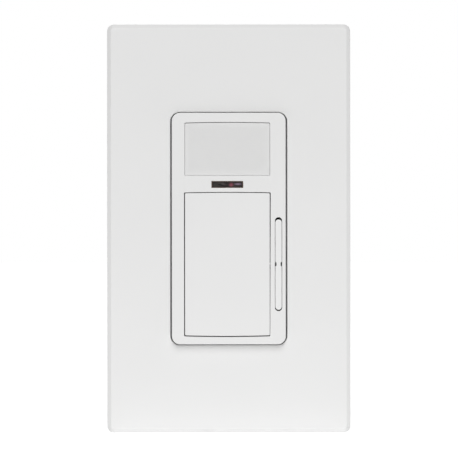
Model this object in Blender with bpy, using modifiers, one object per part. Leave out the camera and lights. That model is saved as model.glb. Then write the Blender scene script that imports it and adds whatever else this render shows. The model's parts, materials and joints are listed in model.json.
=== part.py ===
"""In-wall motion-sensor dimmer: screwless wallplate, hinged paddle and a dim/bright rocker bar.

The wall's surface is the plane y = 0, the room is on the -Y side, +X is right and +Z is up.
All sizes below are millimetres. The helpers turn them into metres.
"""

import math

import bmesh
import bpy
from mathutils import Matrix, Vector

MM = 0.001
SIDES = 24  # round pieces
GAP = 0.3  # between pieces that touch

# Wallplate
PLATE_WIDTH, PLATE_HEIGHT, PLATE_CORNER = 69.85, 117.3, 1.9
PLATE_FRONT = -6.3
PLATE_SKIN = 1.5
PLATE_CHAMFER = 1.1  # flat bevel round the front face
PLATE_RIM_WALL = 2.56
OPENING_WIDTH, OPENING_HEIGHT, OPENING_CORNER = 33.5, 66.95, 2.7
SUBPLATE_WIDTH, SUBPLATE_HEIGHT, SUBPLATE_THICK = 64.0, 111.5, 1.4

# Flat device face, which stands proud of the wallplate
FACE = -8.1
FRAME_WIDTH, FRAME_HEIGHT, FRAME_CORNER = 32.6, 66.1, 2.3
FRAME_SKIN, FRAME_SIDE, FRAME_END = 1.6, 0.8, 1.2
FRAME_BACK = -1.8

# Lens, indicator window and paddle share one centre line
FACE_X = -0.4
LENS_WIDTH, LENS_LOW, LENS_HIGH = 24.5, 15.1, 30.4
WINDOW_WIDTH, WINDOW_LOW, WINDOW_HIGH = 9.2, 11.7, 13.75
PADDLE_WIDTH, PADDLE_LOW, PADDLE_HIGH = 24.6, -30.8, 10.4
PADDLE_SKIN, PADDLE_SKIRT = 1.5, -5.7
PADDLE_SEAM = 0.3
PADDLE_PIVOT_Y, PADDLE_PIVOT_Z = -4.3, 8.6
PADDLE_PIN_RADIUS = 0.6
PADDLE_SWITCH_Z = -19.4  # 28 mm below the pivot
SPRING_Z = -27.0

# Dim/bright bar
BAR_X, BAR_Z, BAR_WIDTH, BAR_HEIGHT = 14.24, -10.2, 2.175, 26.6
BAR_SEAM, BAR_END_SEAM = 0.3, 0.45
BAR_PIVOT_Y = -3.6
BAR_PIN_RADIUS = 0.45
BAR_SWITCH_X, BAR_SWITCH_REACH = 12.9, 10.0

# Strap, standard wall-box screw and wallplate screw spacings
STRAP_WIDTH, STRAP_HEIGHT, STRAP_FRONT, STRAP_BACK = 44.5, 104.8, -1.5, -0.2
STRAP_WAIST = 38.0
STRAP_SHOULDER_Z = 36.5
BOX_SCREW_Z, PLATE_SCREW_Z = 41.67, 48.42
HEAT_TAB_X, HEAT_TAB_DEPTH = 18.0, 12.5

# Back housing and what it holds
HOUSING_WIDTH, HOUSING_HEIGHT, HOUSING_WALL = 43.5, 67.0, 2.0
HOUSING_FRONT, HOUSING_BACK = 0.1, 31.5
HOUSING_SCREW_X, HOUSING_SCREW_Z = 18.3, 30.0
TERMINAL_Z, TERMINAL_Y = 12.0, 22.5
DECK_FRONT, DECK_BACK = -2.9, -1.9
BOARD_FRONT, BOARD_BACK = 0.6, 2.2
POWER_BOARD_FRONT, POWER_BOARD_BACK = 13.0, 14.6


# ---------------------------------------------------------------- scene and materials

for old in list(bpy.data.objects):
    bpy.data.objects.remove(old, do_unlink=True)

parts = bpy.data.collections.new("sensor_dimmer")
helpers = bpy.data.collections.new("cutters_and_joined_shapes")
for group in (parts, helpers):
    bpy.context.scene.collection.children.link(group)


def material(name, colour, roughness, metallic=0.0, transmission=0.0):
    made = bpy.data.materials.new(name)
    made.use_nodes = True
    shader = made.node_tree.nodes["Principled BSDF"]
    shader.inputs["Base Color"].default_value = (*colour, 1.0)
    shader.inputs["Roughness"].default_value = roughness
    shader.inputs["Metallic"].default_value = metallic
    shader.inputs["Transmission Weight"].default_value = transmission
    return made


WHITE = material("white_plastic", (0.80, 0.80, 0.79), 0.35)
PADDLE_WHITE = material("paddle_plastic", (0.81, 0.81, 0.80), 0.3)
CARRIER = material("carrier_plastic", (0.55, 0.56, 0.56), 0.5)
LENS = material("lens_plastic", (0.72, 0.72, 0.71), 0.45, 0.0, 0.2)
SMOKED = material("smoked_window", (0.03, 0.03, 0.035), 0.15)
CLEAR = material("clear_plastic", (0.85, 0.87, 0.88), 0.1, 0.0, 0.8)
BLACK = material("black_plastic", (0.03, 0.03, 0.03), 0.5)
ALUMINIUM = material("aluminium", (0.75, 0.76, 0.77), 0.35, 1.0)
STEEL = material("zinc_steel", (0.62, 0.63, 0.65), 0.3, 1.0)
BRASS = material("brass", (0.78, 0.60, 0.28), 0.3, 1.0)
GREEN_SCREW = material("green_screw", (0.05, 0.35, 0.12), 0.4, 0.6)
BOARD_GREEN = material("circuit_board", (0.04, 0.22, 0.09), 0.45)
PAPER = material("insulator", (0.55, 0.47, 0.33), 0.8)
RELAY_BLUE = material("relay_case", (0.06, 0.16, 0.42), 0.35)
FILM_YELLOW = material("film_capacitor_case", (0.80, 0.58, 0.10), 0.4)
SLEEVE = material("capacitor_sleeve", (0.06, 0.08, 0.14), 0.35)
COPPER = material("copper_winding", (0.72, 0.34, 0.16), 0.35, 1.0)
FERRITE = material("ferrite", (0.10, 0.10, 0.11), 0.6)
LED = material("lamp", (0.85, 0.45, 0.40), 0.2)


# ---------------------------------------------------------------- helpers


def point(x, y, z):
    return Vector((x, y, z)) * MM


def add_object(name, mesh, look=None):
    """An object in the parts' collection, or with no look a hidden helper for a Boolean."""
    obj = bpy.data.objects.new(name, mesh)
    if look is None:
        helpers.objects.link(obj)
        obj.hide_render = True
        obj.display_type = "WIRE"
    else:
        parts.objects.link(obj)
        mesh.materials.append(look)
    return obj


def smooth(obj):
    obj.data.shade_smooth()
    obj.data.set_sharp_from_angle(angle=math.radians(35))


def box(name, low, high, look=None, bevel=0.0):
    """A box between two corners, with its edges rounded where bevel is given."""
    size = [(b - a) * MM for a, b in zip(low, high)]
    shape = bmesh.new()
    bmesh.ops.create_cube(shape, size=1.0)
    bmesh.ops.scale(shape, vec=size, verts=shape.verts)
    mesh = bpy.data.meshes.new(name)
    shape.to_mesh(mesh)
    shape.free()
    obj = add_object(name, mesh, look)
    obj.location = point(*[(a + b) / 2 for a, b in zip(low, high)])
    if bevel:
        rounding = obj.modifiers.new("rounded_edges", "BEVEL")
        rounding.width = bevel * MM
        rounding.segments = 2
    return obj


def rod(name, start, end, radius, look=None, sides=SIDES):
    """A cylinder between two points."""
    start, end = point(*start), point(*end)
    along = end - start
    shape = bmesh.new()
    bmesh.ops.create_cone(
        shape,
        cap_ends=True,
        segments=sides,
        radius1=radius * MM,
        radius2=radius * MM,
        depth=along.length,
    )
    mesh = bpy.data.meshes.new(name)
    shape.to_mesh(mesh)
    shape.free()
    obj = add_object(name, mesh, look)
    obj.location = (start + end) / 2
    obj.rotation_euler = along.to_track_quat("Z", "Y").to_euler()
    smooth(obj)
    return obj


def rounded_rectangle(width, height, corner, steps=5):
    """The outline's points, anticlockwise, with each corner as an arc."""
    outline = []
    for quarter in range(4):
        sign_x = 1 if quarter in (0, 3) else -1
        sign_y = 1 if quarter in (0, 1) else -1
        centre_x = sign_x * (width / 2 - corner)
        centre_y = sign_y * (height / 2 - corner)
        for step in range(steps + 1):
            turn = math.radians(90 * (quarter + step / steps))
            outline.append((centre_x + corner * math.cos(turn), centre_y + corner * math.sin(turn)))
    return outline


def slab(name, outline, front, back, look=None, centre=(0.0, 0.0)):
    """A flat outline in X and Z, filled and extruded from front to back along Y."""
    curve = bpy.data.curves.new(name, "CURVE")
    curve.dimensions = "2D"
    curve.fill_mode = "BOTH"
    curve.extrude = (back - front) / 2 * MM
    spline = curve.splines.new("POLY")
    spline.points.add(len(outline) - 1)
    for spline_point, (x, z) in zip(spline.points, outline):
        spline_point.co = (x * MM, z * MM, 0.0, 1.0)
    spline.use_cyclic_u = True
    drawn = bpy.data.objects.new(name + "_outline", curve)
    parts.objects.link(drawn)
    graph = bpy.context.evaluated_depsgraph_get()
    mesh = bpy.data.meshes.new_from_object(drawn.evaluated_get(graph))
    bpy.data.objects.remove(drawn)
    shape = bmesh.new()
    shape.from_mesh(mesh)
    bmesh.ops.remove_doubles(shape, verts=shape.verts, dist=1e-6)
    shape.to_mesh(mesh)
    shape.free()
    mesh.transform(Matrix.Rotation(math.radians(90), 4, "X"))
    mesh.materials.clear()
    obj = add_object(name, mesh, look)
    obj.location = point(centre[0], (front + back) / 2, centre[1])
    return obj


def chamfer_front_edge(obj, width):
    """Cuts a flat bevel round the rim of the front face alone."""
    shape = bmesh.new()
    shape.from_mesh(obj.data)
    weights = shape.edges.layers.float.new("bevel_weight_edge")
    front = min(vertex.co.y for vertex in shape.verts)
    for edge in shape.edges:
        in_front = all(abs(vertex.co.y - front) < 1e-7 for vertex in edge.verts)
        edge[weights] = float(in_front and edge.calc_face_angle() > math.radians(30))
    shape.to_mesh(obj.data)
    shape.free()
    bevel = obj.modifiers.new("front_chamfer", "BEVEL")
    bevel.limit_method = "WEIGHT"
    bevel.width = width * MM
    bevel.segments = 1


def turned(name, profile, place, facing, look=None, steps=SIDES):
    """A turned piece: profile points (radius, height) from the top on the axis, down its outside."""
    mesh = bpy.data.meshes.new(name)
    corners = [(radius * MM, 0.0, height * MM) for radius, height in profile]
    mesh.from_pydata(corners, [(i, i + 1) for i in range(len(corners) - 1)], [])
    obj = add_object(name, mesh, look)
    obj.location = point(*place)
    obj.rotation_euler = Vector(facing).to_track_quat("Z", "Y").to_euler()
    lathe = obj.modifiers.new("lathe", "SCREW")
    lathe.steps = steps
    lathe.render_steps = steps
    lathe.use_merge_vertices = True
    lathe.merge_threshold = 1e-5
    lathe.use_smooth_shade = False
    return obj


def boolean(obj, operation, *others):
    for other in others:
        modifier = obj.modifiers.new(operation.lower(), "BOOLEAN")
        modifier.operation = operation
        modifier.object = other


def cut(obj, *others):
    boolean(obj, "DIFFERENCE", *others)


def join(obj, *others):
    boolean(obj, "UNION", *others)


def put_origin(obj, x, y, z):
    """Moves a piece's origin onto its joint's axis and leaves its shape where it is."""
    bpy.context.view_layer.update()
    pivot = point(x, y, z)
    obj.data.transform(Matrix.Translation(-pivot) @ obj.matrix_world)
    obj.matrix_world = Matrix.Translation(pivot)


def screw(name, place, facing, head_radius, head_height, shank_radius, length, look):
    """A pan-head screw with a straight slot. Its place is the middle of the head's underside."""
    profile = [
        (0.0, head_height),
        (head_radius * 0.72, head_height),
        (head_radius, head_height * 0.45),
        (head_radius, 0.0),
        (shank_radius, 0.0),
        (shank_radius, -length + shank_radius * 0.6),
        (shank_radius * 0.45, -length),
        (0.0, -length),
    ]
    made = turned(name, profile, place, facing, look, 16)
    half = head_radius * 1.2
    slot = box(
        name + "_slot",
        (-half, -0.45, head_height * 0.45),
        (half, 0.45, head_height * 1.5),
    )
    bpy.context.view_layer.update()
    slot.matrix_world = made.matrix_world @ slot.matrix_world
    cut(made, slot)
    return made


# ---------------------------------------------------------------- wallplate


def wallplate_cover():
    outline = rounded_rectangle(PLATE_WIDTH, PLATE_HEIGHT, PLATE_CORNER)
    cover = slab("wallplate_cover", outline, PLATE_FRONT, 0.0, WHITE)
    chamfer_front_edge(cover, PLATE_CHAMFER)

    inner_width = PLATE_WIDTH - 2 * PLATE_RIM_WALL
    inner_height = PLATE_HEIGHT - 2 * PLATE_RIM_WALL
    hollow_outline = rounded_rectangle(inner_width, inner_height, 1.0)
    hollow = slab("cover_hollow", hollow_outline, PLATE_FRONT + PLATE_SKIN, 1.0)
    collar_outline = rounded_rectangle(OPENING_WIDTH + 2.6, OPENING_HEIGHT + 2.6, 4.0)
    subplate_front = FRAME_BACK - SUBPLATE_THICK
    collar = slab("cover_collar", collar_outline, PLATE_FRONT, subplate_front - GAP)
    cut(hollow, collar)
    cut(cover, hollow)
    opening_outline = rounded_rectangle(OPENING_WIDTH, OPENING_HEIGHT, OPENING_CORNER)
    cut(cover, slab("cover_opening", opening_outline, PLATE_FRONT - 1, 1.0))
    for side in (-1, 1):
        for end in (-1, 1):
            edge = side * (inner_width / 2 + 0.3)
            tip = side * (SUBPLATE_WIDTH / 2 - 0.6)
            low = (min(edge, tip), FRAME_BACK + GAP, end * 30.0 - 4.0)
            high = (max(edge, tip), -0.6, end * 30.0 + 4.0)
            join(cover, box("cover_hook", low, high))
    return cover


def wallplate_subplate():
    front = FRAME_BACK - SUBPLATE_THICK
    outline = rounded_rectangle(SUBPLATE_WIDTH, SUBPLATE_HEIGHT, 2.0)
    plate = slab("wallplate_subplate", outline, front, FRAME_BACK, WHITE)
    opening = rounded_rectangle(OPENING_WIDTH + 1.2, OPENING_HEIGHT + 1.2, 3.2)
    cut(plate, slab("subplate_opening", opening, front - 1, FRAME_BACK + 1))
    for end in (-1, 1):
        for radius, z in ((4.6, BOX_SCREW_Z), (2.1, PLATE_SCREW_Z)):
            hole = (0, front - 1, end * z), (0, FRAME_BACK + 1, end * z)
            cut(plate, rod("subplate_hole", *hole, radius))
        screw(
            "subplate_screw_" + ("top" if end > 0 else "bottom"),
            (0, front - GAP, end * PLATE_SCREW_Z),
            (0, -1, 0),
            3.3,
            1.0,
            1.55,
            9.0,
            STEEL,
        )
    return plate


# ---------------------------------------------------------------- strap and its screws


def strap_outline():
    """A wide middle with narrower ends: one quarter, mirrored and then turned."""
    half, waist = STRAP_WIDTH / 2, STRAP_WAIST / 2
    tall, shoulder, corner = STRAP_HEIGHT / 2, STRAP_SHOULDER_Z, 3.0
    right = [(half, shoulder - 2.0), (half - 2.0, shoulder), (waist, shoulder + 0.5)]
    for step in range(5):
        turn = math.radians(22.5 * step)
        x = waist - corner + corner * math.cos(turn)
        right.append((x, tall - corner + corner * math.sin(turn)))
    upper = right + [(-x, z) for x, z in reversed(right)]
    return upper + [(-x, -z) for x, z in upper]


def mounting_strap():
    strap = slab("mounting_strap", strap_outline(), STRAP_FRONT, STRAP_BACK, ALUMINIUM)
    opening = rounded_rectangle(30.8, 60.0, 1.5)
    cut(strap, slab("strap_opening", opening, STRAP_FRONT - 1, 1.0))
    for end in (-1, 1):
        slot = rounded_rectangle(7.0, 4.2, 1.9)
        centre = (0.0, end * BOX_SCREW_Z)
        cut(strap, slab("box_screw_slot", slot, STRAP_FRONT - 1, 1.0, None, centre))
        low, high = (0, STRAP_FRONT - 1, end * PLATE_SCREW_Z), (0, 1, end * PLATE_SCREW_Z)
        cut(strap, rod("plate_screw_hole", low, high, 1.9))
        for side in (-1, 1):
            x, z = side * HOUSING_SCREW_X, end * HOUSING_SCREW_Z
            cut(strap, rod("rivet_hole", (x, STRAP_FRONT - 1, z), (x, 1, z), 1.5, None, 12))
            pad_x = side * 11.0
            low = (pad_x - 4.5, STRAP_BACK - 0.5, end * 48.5 - 3.0)
            high = (pad_x + 4.5, 0.0, end * 48.5 + 3.0)
            join(strap, box("wall_pad", low, high))
    ground = (-13.5, STRAP_FRONT - 1, -40.5), (-13.5, 1, -40.5)
    cut(strap, rod("ground_hole", *ground, 2.05))
    low = (HEAT_TAB_X, STRAP_FRONT + 0.3, -27.0)
    high = (HEAT_TAB_X + 1.2, HEAT_TAB_DEPTH, -2.6)
    join(strap, box("heat_tab", low, high))
    return strap


def strap_screws():
    for name, end in (("top", 1), ("bottom", -1)):
        screw(
            "mounting_screw_" + name,
            (0, STRAP_FRONT - GAP, end * BOX_SCREW_Z),
            (0, -1, 0),
            3.9,
            2.0,
            1.65,
            25.0,
            STEEL,
        )
    screw("ground_screw", (-13.5, GAP / 2, -40.5), (0, 1, 0), 3.6, 2.2, 1.7, 1.5, GREEN_SCREW)


# ---------------------------------------------------------------- device face


def span(low, high):
    return (low + high) / 2, high - low


def face_frame():
    outline = rounded_rectangle(FRAME_WIDTH, FRAME_HEIGHT, FRAME_CORNER)
    frame = slab("face_frame", outline, FACE, FRAME_BACK, WHITE)
    inner = rounded_rectangle(FRAME_WIDTH - 2 * FRAME_SIDE, FRAME_HEIGHT - 2 * FRAME_END, 1.5)
    hollow = slab("frame_hollow", inner, FACE + FRAME_SKIN, FRAME_BACK + 1)
    cut(frame, hollow)
    paddle_width, slot_width = PADDLE_WIDTH + PADDLE_SEAM, BAR_WIDTH + BAR_SEAM
    slot_reach, slot_corner = BAR_HEIGHT / 2 + BAR_END_SEAM / 2, slot_width / 2 - 0.02
    windows = (
        ("lens_window", FACE_X, LENS_WIDTH + 0.2, LENS_LOW - 0.1, LENS_HIGH + 0.1, 0.4, 2),
        ("lamp_window", FACE_X, WINDOW_WIDTH, WINDOW_LOW, WINDOW_HIGH, 0.2, 2),
        ("paddle_window", FACE_X, paddle_width, PADDLE_LOW - 0.25, PADDLE_HIGH + 0.15, 0.5, 2),
        ("bar_slot", BAR_X, slot_width, BAR_Z - slot_reach, BAR_Z + slot_reach, slot_corner, 8),
    )
    for name, x, width, low, high, corner, steps in windows:
        middle, height = span(low, high)
        shape = rounded_rectangle(width, height, corner, steps)
        cut(frame, slab(name, shape, FACE - 1, FRAME_BACK - 1.5, None, (x, middle)))
    return frame


def shell(name, width, low, high, corner, skin, back, look):
    """A cap with a flat front and a skirt, open at the back."""
    middle, height = span(low, high)
    outline = rounded_rectangle(width, height, corner, 2)
    made = slab(name, outline, FACE, back, look, (FACE_X, middle))
    inner = rounded_rectangle(width - 2 * skin, height - 2 * skin, max(corner - skin, 0.2), 2)
    hollow = slab(name + "_hollow", inner, FACE + skin, back + 1, None, (FACE_X, middle))
    cut(made, hollow)
    return made


def sensor_lens():
    lens = shell("sensor_lens", LENS_WIDTH - 0.2, LENS_LOW + 0.1, LENS_HIGH - 0.1, 0.3, 0.9, -4.8, LENS)
    middle, height = span(LENS_LOW, LENS_HIGH)
    edge = rounded_rectangle(26.4, height + 1.4, 1.2, 2)
    rim = slab("lens_rim", edge, -5.6, -4.8, None, (FACE_X, middle))
    bore = rounded_rectangle(LENS_WIDTH - 2.2, height - 2.2, 0.5, 2)
    cut(rim, slab("lens_rim_bore", bore, -6.6, -3.8, None, (FACE_X, middle)))
    join(lens, rim)
    return lens


def indicator_window():
    middle, height = span(WINDOW_LOW, WINDOW_HIGH)
    outline = rounded_rectangle(WINDOW_WIDTH - 0.3, height - 0.3, 0.25, 3)
    window = slab("indicator_window", outline, FACE + 0.15, -5.8, SMOKED, (FACE_X, middle))
    rim = rounded_rectangle(WINDOW_WIDTH + 1.2, height + 0.6, 0.3, 3)
    join(window, slab("window_rim", rim, -6.2, -5.5, None, (FACE_X, middle)))
    return window


def paddle():
    low, high = PADDLE_LOW + 0.2, PADDLE_HIGH - 0.15
    width = PADDLE_WIDTH - PADDLE_SEAM
    made = shell("paddle", width, low, high, 0.35, PADDLE_SKIN, PADDLE_SKIRT, PADDLE_WHITE)
    inside = FACE + PADDLE_SKIN - 0.4
    for x in (FACE_X - 8.2, FACE_X + 8.2):
        ear_low = (x - 1.0, inside, PADDLE_PIVOT_Z - 1.5)
        ear_high = (x + 1.0, PADDLE_PIVOT_Y + 1.1, PADDLE_PIVOT_Z + 0.9)
        join(made, box("paddle_ear", ear_low, ear_high))
    push = (FACE_X, inside, PADDLE_SWITCH_Z), (FACE_X, -4.7, PADDLE_SWITCH_Z)
    join(made, rod("paddle_push_post", *push, 2.0, None, 16))
    bore = (-12.0, PADDLE_PIVOT_Y, PADDLE_PIVOT_Z), (12.0, PADDLE_PIVOT_Y, PADDLE_PIVOT_Z)
    cut(made, rod("paddle_ear_bore", *bore, PADDLE_PIN_RADIUS + 0.2, None, 16))
    put_origin(made, FACE_X, PADDLE_PIVOT_Y, PADDLE_PIVOT_Z)
    start, end = (-10.2, PADDLE_PIVOT_Y, PADDLE_PIVOT_Z), (9.4, PADDLE_PIVOT_Y, PADDLE_PIVOT_Z)
    rod("paddle_hinge_pin", start, end, PADDLE_PIN_RADIUS, STEEL, 16)
    return made


def paddle_return_spring():
    """A compression coil between the deck and the paddle's inside, with closed end turns."""
    front, back, radius, wire = -6.05, DECK_FRONT - 0.5, 1.8, 0.2
    turns, per_turn = 5, 12
    curve = bpy.data.curves.new("paddle_return_spring", "CURVE")
    curve.dimensions = "3D"
    curve.bevel_depth = wire * MM
    curve.bevel_resolution = 1
    curve.use_fill_caps = True
    spline = curve.splines.new("POLY")
    count = turns * per_turn + 1
    spline.points.add(count - 1)
    for index in range(count):
        turn = 2 * math.pi * index / per_turn
        share = index / (count - 1)
        eased = min(max((share - 0.15) / 0.7, 0.0), 1.0)
        rise = 0.11 * share + 0.89 * eased
        x = FACE_X + radius * math.cos(turn)
        z = SPRING_Z + radius * math.sin(turn)
        y = back + (front - back) * rise
        spline.points[index].co = (x * MM, y * MM, z * MM, 1.0)
    curve.materials.append(STEEL)
    parts.objects.link(bpy.data.objects.new("paddle_return_spring", curve))


def dimmer_bar():
    width, height = BAR_WIDTH - BAR_SEAM, BAR_HEIGHT - BAR_END_SEAM
    outline = rounded_rectangle(width, height, width / 2 - 0.02, 8)
    bar = slab("dimmer_bar", outline, FACE, -5.2, PADDLE_WHITE, (BAR_X, BAR_Z))
    base = box("bar_base", (12.15, -5.6, BAR_Z - 12.6), (14.9, -4.75, BAR_Z + 12.6))
    hub = box("bar_hub", (12.15, -5.2, BAR_Z - 1.2), (13.9, BAR_PIVOT_Y + 0.95, BAR_Z + 1.2))
    join(bar, base, hub)
    for end in (-1, 1):
        z = BAR_Z + end * BAR_SWITCH_REACH
        post = (BAR_SWITCH_X, -5.2, z), (BAR_SWITCH_X, -4.3, z)
        join(bar, rod("bar_push_post", *post, 0.7, None, 12))
        notch_x = BAR_X + end * width / 2
        low = (notch_x - 0.2, FACE - 1, BAR_Z - 0.55)
        cut(bar, box("bar_notch", low, (notch_x + 0.2, -6.0, BAR_Z + 0.55)))
    bore = (11.0, BAR_PIVOT_Y, BAR_Z), (14.5, BAR_PIVOT_Y, BAR_Z)
    cut(bar, rod("bar_bore", *bore, BAR_PIN_RADIUS + 0.15, None, 12))
    put_origin(bar, BAR_X, BAR_PIVOT_Y, BAR_Z)
    start, end = (10.9, BAR_PIVOT_Y, BAR_Z), (15.0, BAR_PIVOT_Y, BAR_Z)
    rod("bar_pivot_pin", start, end, BAR_PIN_RADIUS, STEEL, 12)
    return bar


# ---------------------------------------------------------------- switch carrier and control board


def switch_carrier():
    """The deck behind the face: it carries both pivots, the spring's post and the sensor's hole."""
    deck = slab("switch_carrier", rounded_rectangle(30.4, 63.0, 1.6), DECK_FRONT, DECK_BACK, CARRIER)
    for x in (FACE_X - 6.1, FACE_X + 6.1):
        low = (x - 0.7, PADDLE_PIVOT_Y - 1.1, PADDLE_PIVOT_Z - 1.5)
        join(deck, box("paddle_bracket", low, (x + 0.7, DECK_FRONT + 0.4, PADDLE_PIVOT_Z + 1.5)))
    for low_x, high_x in ((11.0, 11.8), (14.2, 14.9)):
        low = (low_x, BAR_PIVOT_Y - 0.85, BAR_Z - 1.2)
        join(deck, box("bar_bracket", low, (high_x, DECK_FRONT + 0.4, BAR_Z + 1.2)))
    post = (FACE_X, DECK_FRONT + 0.4, SPRING_Z), (FACE_X, -4.8, SPRING_Z)
    join(deck, rod("spring_post", *post, 1.1, None, 16))
    for y, z, reach, radius in (
        (PADDLE_PIVOT_Y, PADDLE_PIVOT_Z, 9.0, PADDLE_PIN_RADIUS),
        (BAR_PIVOT_Y, BAR_Z, 15.5, BAR_PIN_RADIUS),
    ):
        start = 0.0 if radius == BAR_PIN_RADIUS else -reach
        cut(deck, rod("pin_bore", (start, y, z), (reach, y, z), radius + 0.12, None, 12))
    front, back = DECK_FRONT - 0.5, DECK_BACK + 0.5
    cut(deck, rod("sensor_hole", (FACE_X, front, 22.75), (FACE_X, back, 22.75), 5.0))
    holes = (
        ("paddle_switch_hole", FACE_X, PADDLE_SWITCH_Z, 3.4, 3.4),
        ("bar_hub_hole", 13.0, BAR_Z, 1.15, 1.6),
        ("upper_switch_hole", BAR_SWITCH_X, BAR_Z + BAR_SWITCH_REACH, 1.95, 2.4),
        ("lower_switch_hole", BAR_SWITCH_X, BAR_Z - BAR_SWITCH_REACH, 1.95, 2.4),
        ("light_pipe_hole", 2.0, 12.7, 1.8, 1.1),
        ("light_sensor_hole", -3.2, 12.7, 1.5, 1.1),
    )
    for name, x, z, half_x, half_z in holes:
        cut(deck, box(name, (x - half_x, front, z - half_z), (x + half_x, back, z + half_z)))
    return deck


def push_switch(name, x, z, half, front, front_of_plunger, radius):
    """A tact switch: a square body with a well, and a round plunger that slides in it."""
    base = BOARD_FRONT - GAP
    body = box(name + "_switch_body", (x - half, front, z - half), (x + half, base, z + half), BLACK, 0.15)
    well = (x, front - 1, z), (x, base - 1.0, z)
    cut(body, rod(name + "_well", *well, radius + 0.25, None, 16))
    start, end = (x, front_of_plunger, z), (x, base - 2.0, z)
    plunger = rod(name + "_switch_plunger", start, end, radius, PADDLE_WHITE, 16)
    put_origin(plunger, x, front_of_plunger, z)


def control_board():
    box("control_board", (-14.8, BOARD_FRONT, -30.5), (14.8, BOARD_BACK, 30.5), BOARD_GREEN)
    push_switch("paddle", FACE_X, PADDLE_SWITCH_Z, 3.0, -2.6, -4.4, 1.6)
    push_switch("bar_upper", BAR_SWITCH_X, BAR_Z + BAR_SWITCH_REACH, 1.65, -2.4, -4.0, 0.8)
    push_switch("bar_lower", BAR_SWITCH_X, BAR_Z - BAR_SWITCH_REACH, 1.65, -2.4, -4.0, 0.8)
    base = BOARD_FRONT - GAP
    can = [(0.0, 4.4), (3.7, 4.4), (4.05, 4.05), (4.05, 0.5), (4.6, 0.5), (4.6, 0.0), (0.0, 0.0)]
    turned("motion_sensor", can, (FACE_X, base, 22.75), (0, -1, 0), STEEL)
    shade = [(5.9, 2.4), (6.1, 2.6), (6.3, 2.4), (5.3, 0.0), (4.9, 0.0), (5.9, 2.4)]
    turned("sensor_shroud", shade, (FACE_X, DECK_FRONT - GAP, 22.75), (0, -1, 0), BLACK)
    low = (FACE_X - 1.9, base - 4.95, 22.75 - 1.4)
    box("motion_sensor_filter", low, (FACE_X + 1.9, base - 4.7, 22.75 + 1.4), SMOKED)
    box("status_lamp", (1.2, -0.9, 12.1), (2.8, base, 13.3), LED)
    box("light_pipe", (0.6, -5.2, 12.0), (3.4, -1.2, 13.4), CLEAR, 0.2)
    box("light_sensor", (-4.2, -0.7, 12.1), (-2.2, base, 13.3), CLEAR)
    box("microcontroller", (-8.0, -0.8, -6.5), (-1.0, base, 0.5), BLACK, 0.15)
    box("board_connector", (-7.0, BOARD_BACK + GAP, 24.0), (5.0, POWER_BOARD_FRONT - GAP, 27.0), BLACK)
    sheet = box("insulator_sheet", (-18.8, 3.1, -29.0), (12.8, 3.5, 26.5), PAPER)
    cut(sheet, box("sheet_notch", (-7.5, 2.5, 23.5), (5.5, 4.0, 27.5)))
    sheet_corner = box("sheet_corner", (-20.0, 2.5, -31.0), (-15.0, 4.0, -26.6))
    cut(sheet, sheet_corner)


# ---------------------------------------------------------------- power board


def power_board():
    box("power_board", (-19.2, POWER_BOARD_FRONT, -26.6), (19.2, POWER_BOARD_BACK, 26.6), BOARD_GREEN)
    base = POWER_BOARD_BACK + GAP
    box("relay", (-9.6, base, 10.5), (9.6, base + 14.0, 26.0), RELAY_BLUE, 0.4)
    core = box("transformer", (-11.0, base, -4.5), (2.6, base + 12.0, 8.0), FERRITE, 0.3)
    winding = (-4.2, base + 6.0, -5.6), (-4.2, base + 6.0, 9.1)
    join(core, rod("transformer_winding", *winding, 4.6))
    box("film_capacitor", (5.0, base, -5.5), (11.3, base + 11.0, 8.5), FILM_YELLOW, 0.5)
    can = [(0.0, 12.0), (3.5, 12.0), (4.0, 11.5), (4.0, 0.6), (3.7, 0.0), (0.0, 0.0)]
    turned("electrolytic_capacitor", can, (14.0, base, -22.7), (0, 1, 0), SLEEVE)
    ring = bpy.data.meshes.new("toroid_choke")
    choke = add_object("toroid_choke", ring, COPPER)
    shape = bmesh.new()
    bmesh.ops.create_circle(shape, segments=12, radius=2.9 * MM)
    bmesh.ops.translate(shape, vec=(7.0 * MM, 0, 0), verts=shape.verts)
    bmesh.ops.rotate(shape, matrix=Matrix.Rotation(math.radians(90), 3, "X"), verts=shape.verts)
    shape.to_mesh(ring)
    shape.free()
    sweep = choke.modifiers.new("ring", "SCREW")
    sweep.steps = SIDES
    sweep.render_steps = SIDES
    sweep.use_merge_vertices = True
    sweep.merge_threshold = 1e-5
    choke.location = point(0, base + 3.2, -17.0)
    choke.rotation_euler = (math.radians(90), 0, 0)
    rod("fuse", (-14.5, base + 2.0, -25.5), (-14.5, base + 2.0, -19.0), 1.8, CLEAR, 16)
    edge = HEAT_TAB_X - GAP
    for name, z in (("upper", -9.8), ("lower", -19.8)):
        box("power_transistor_" + name, (edge - 4.4, 3.0, z - 4.4), (edge, 12.2, z + 4.4), BLACK, 0.3)
    clip = box("transistor_clip", (12.1, 5.0, -25.9), (12.9, 10.0, -3.7), STEEL)
    for z in (-25.5, -4.1):
        join(clip, box("clip_leg", (12.4, 5.0, z - 0.4), (edge, 10.0, z + 0.4)))


# ---------------------------------------------------------------- back housing and terminals


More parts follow.
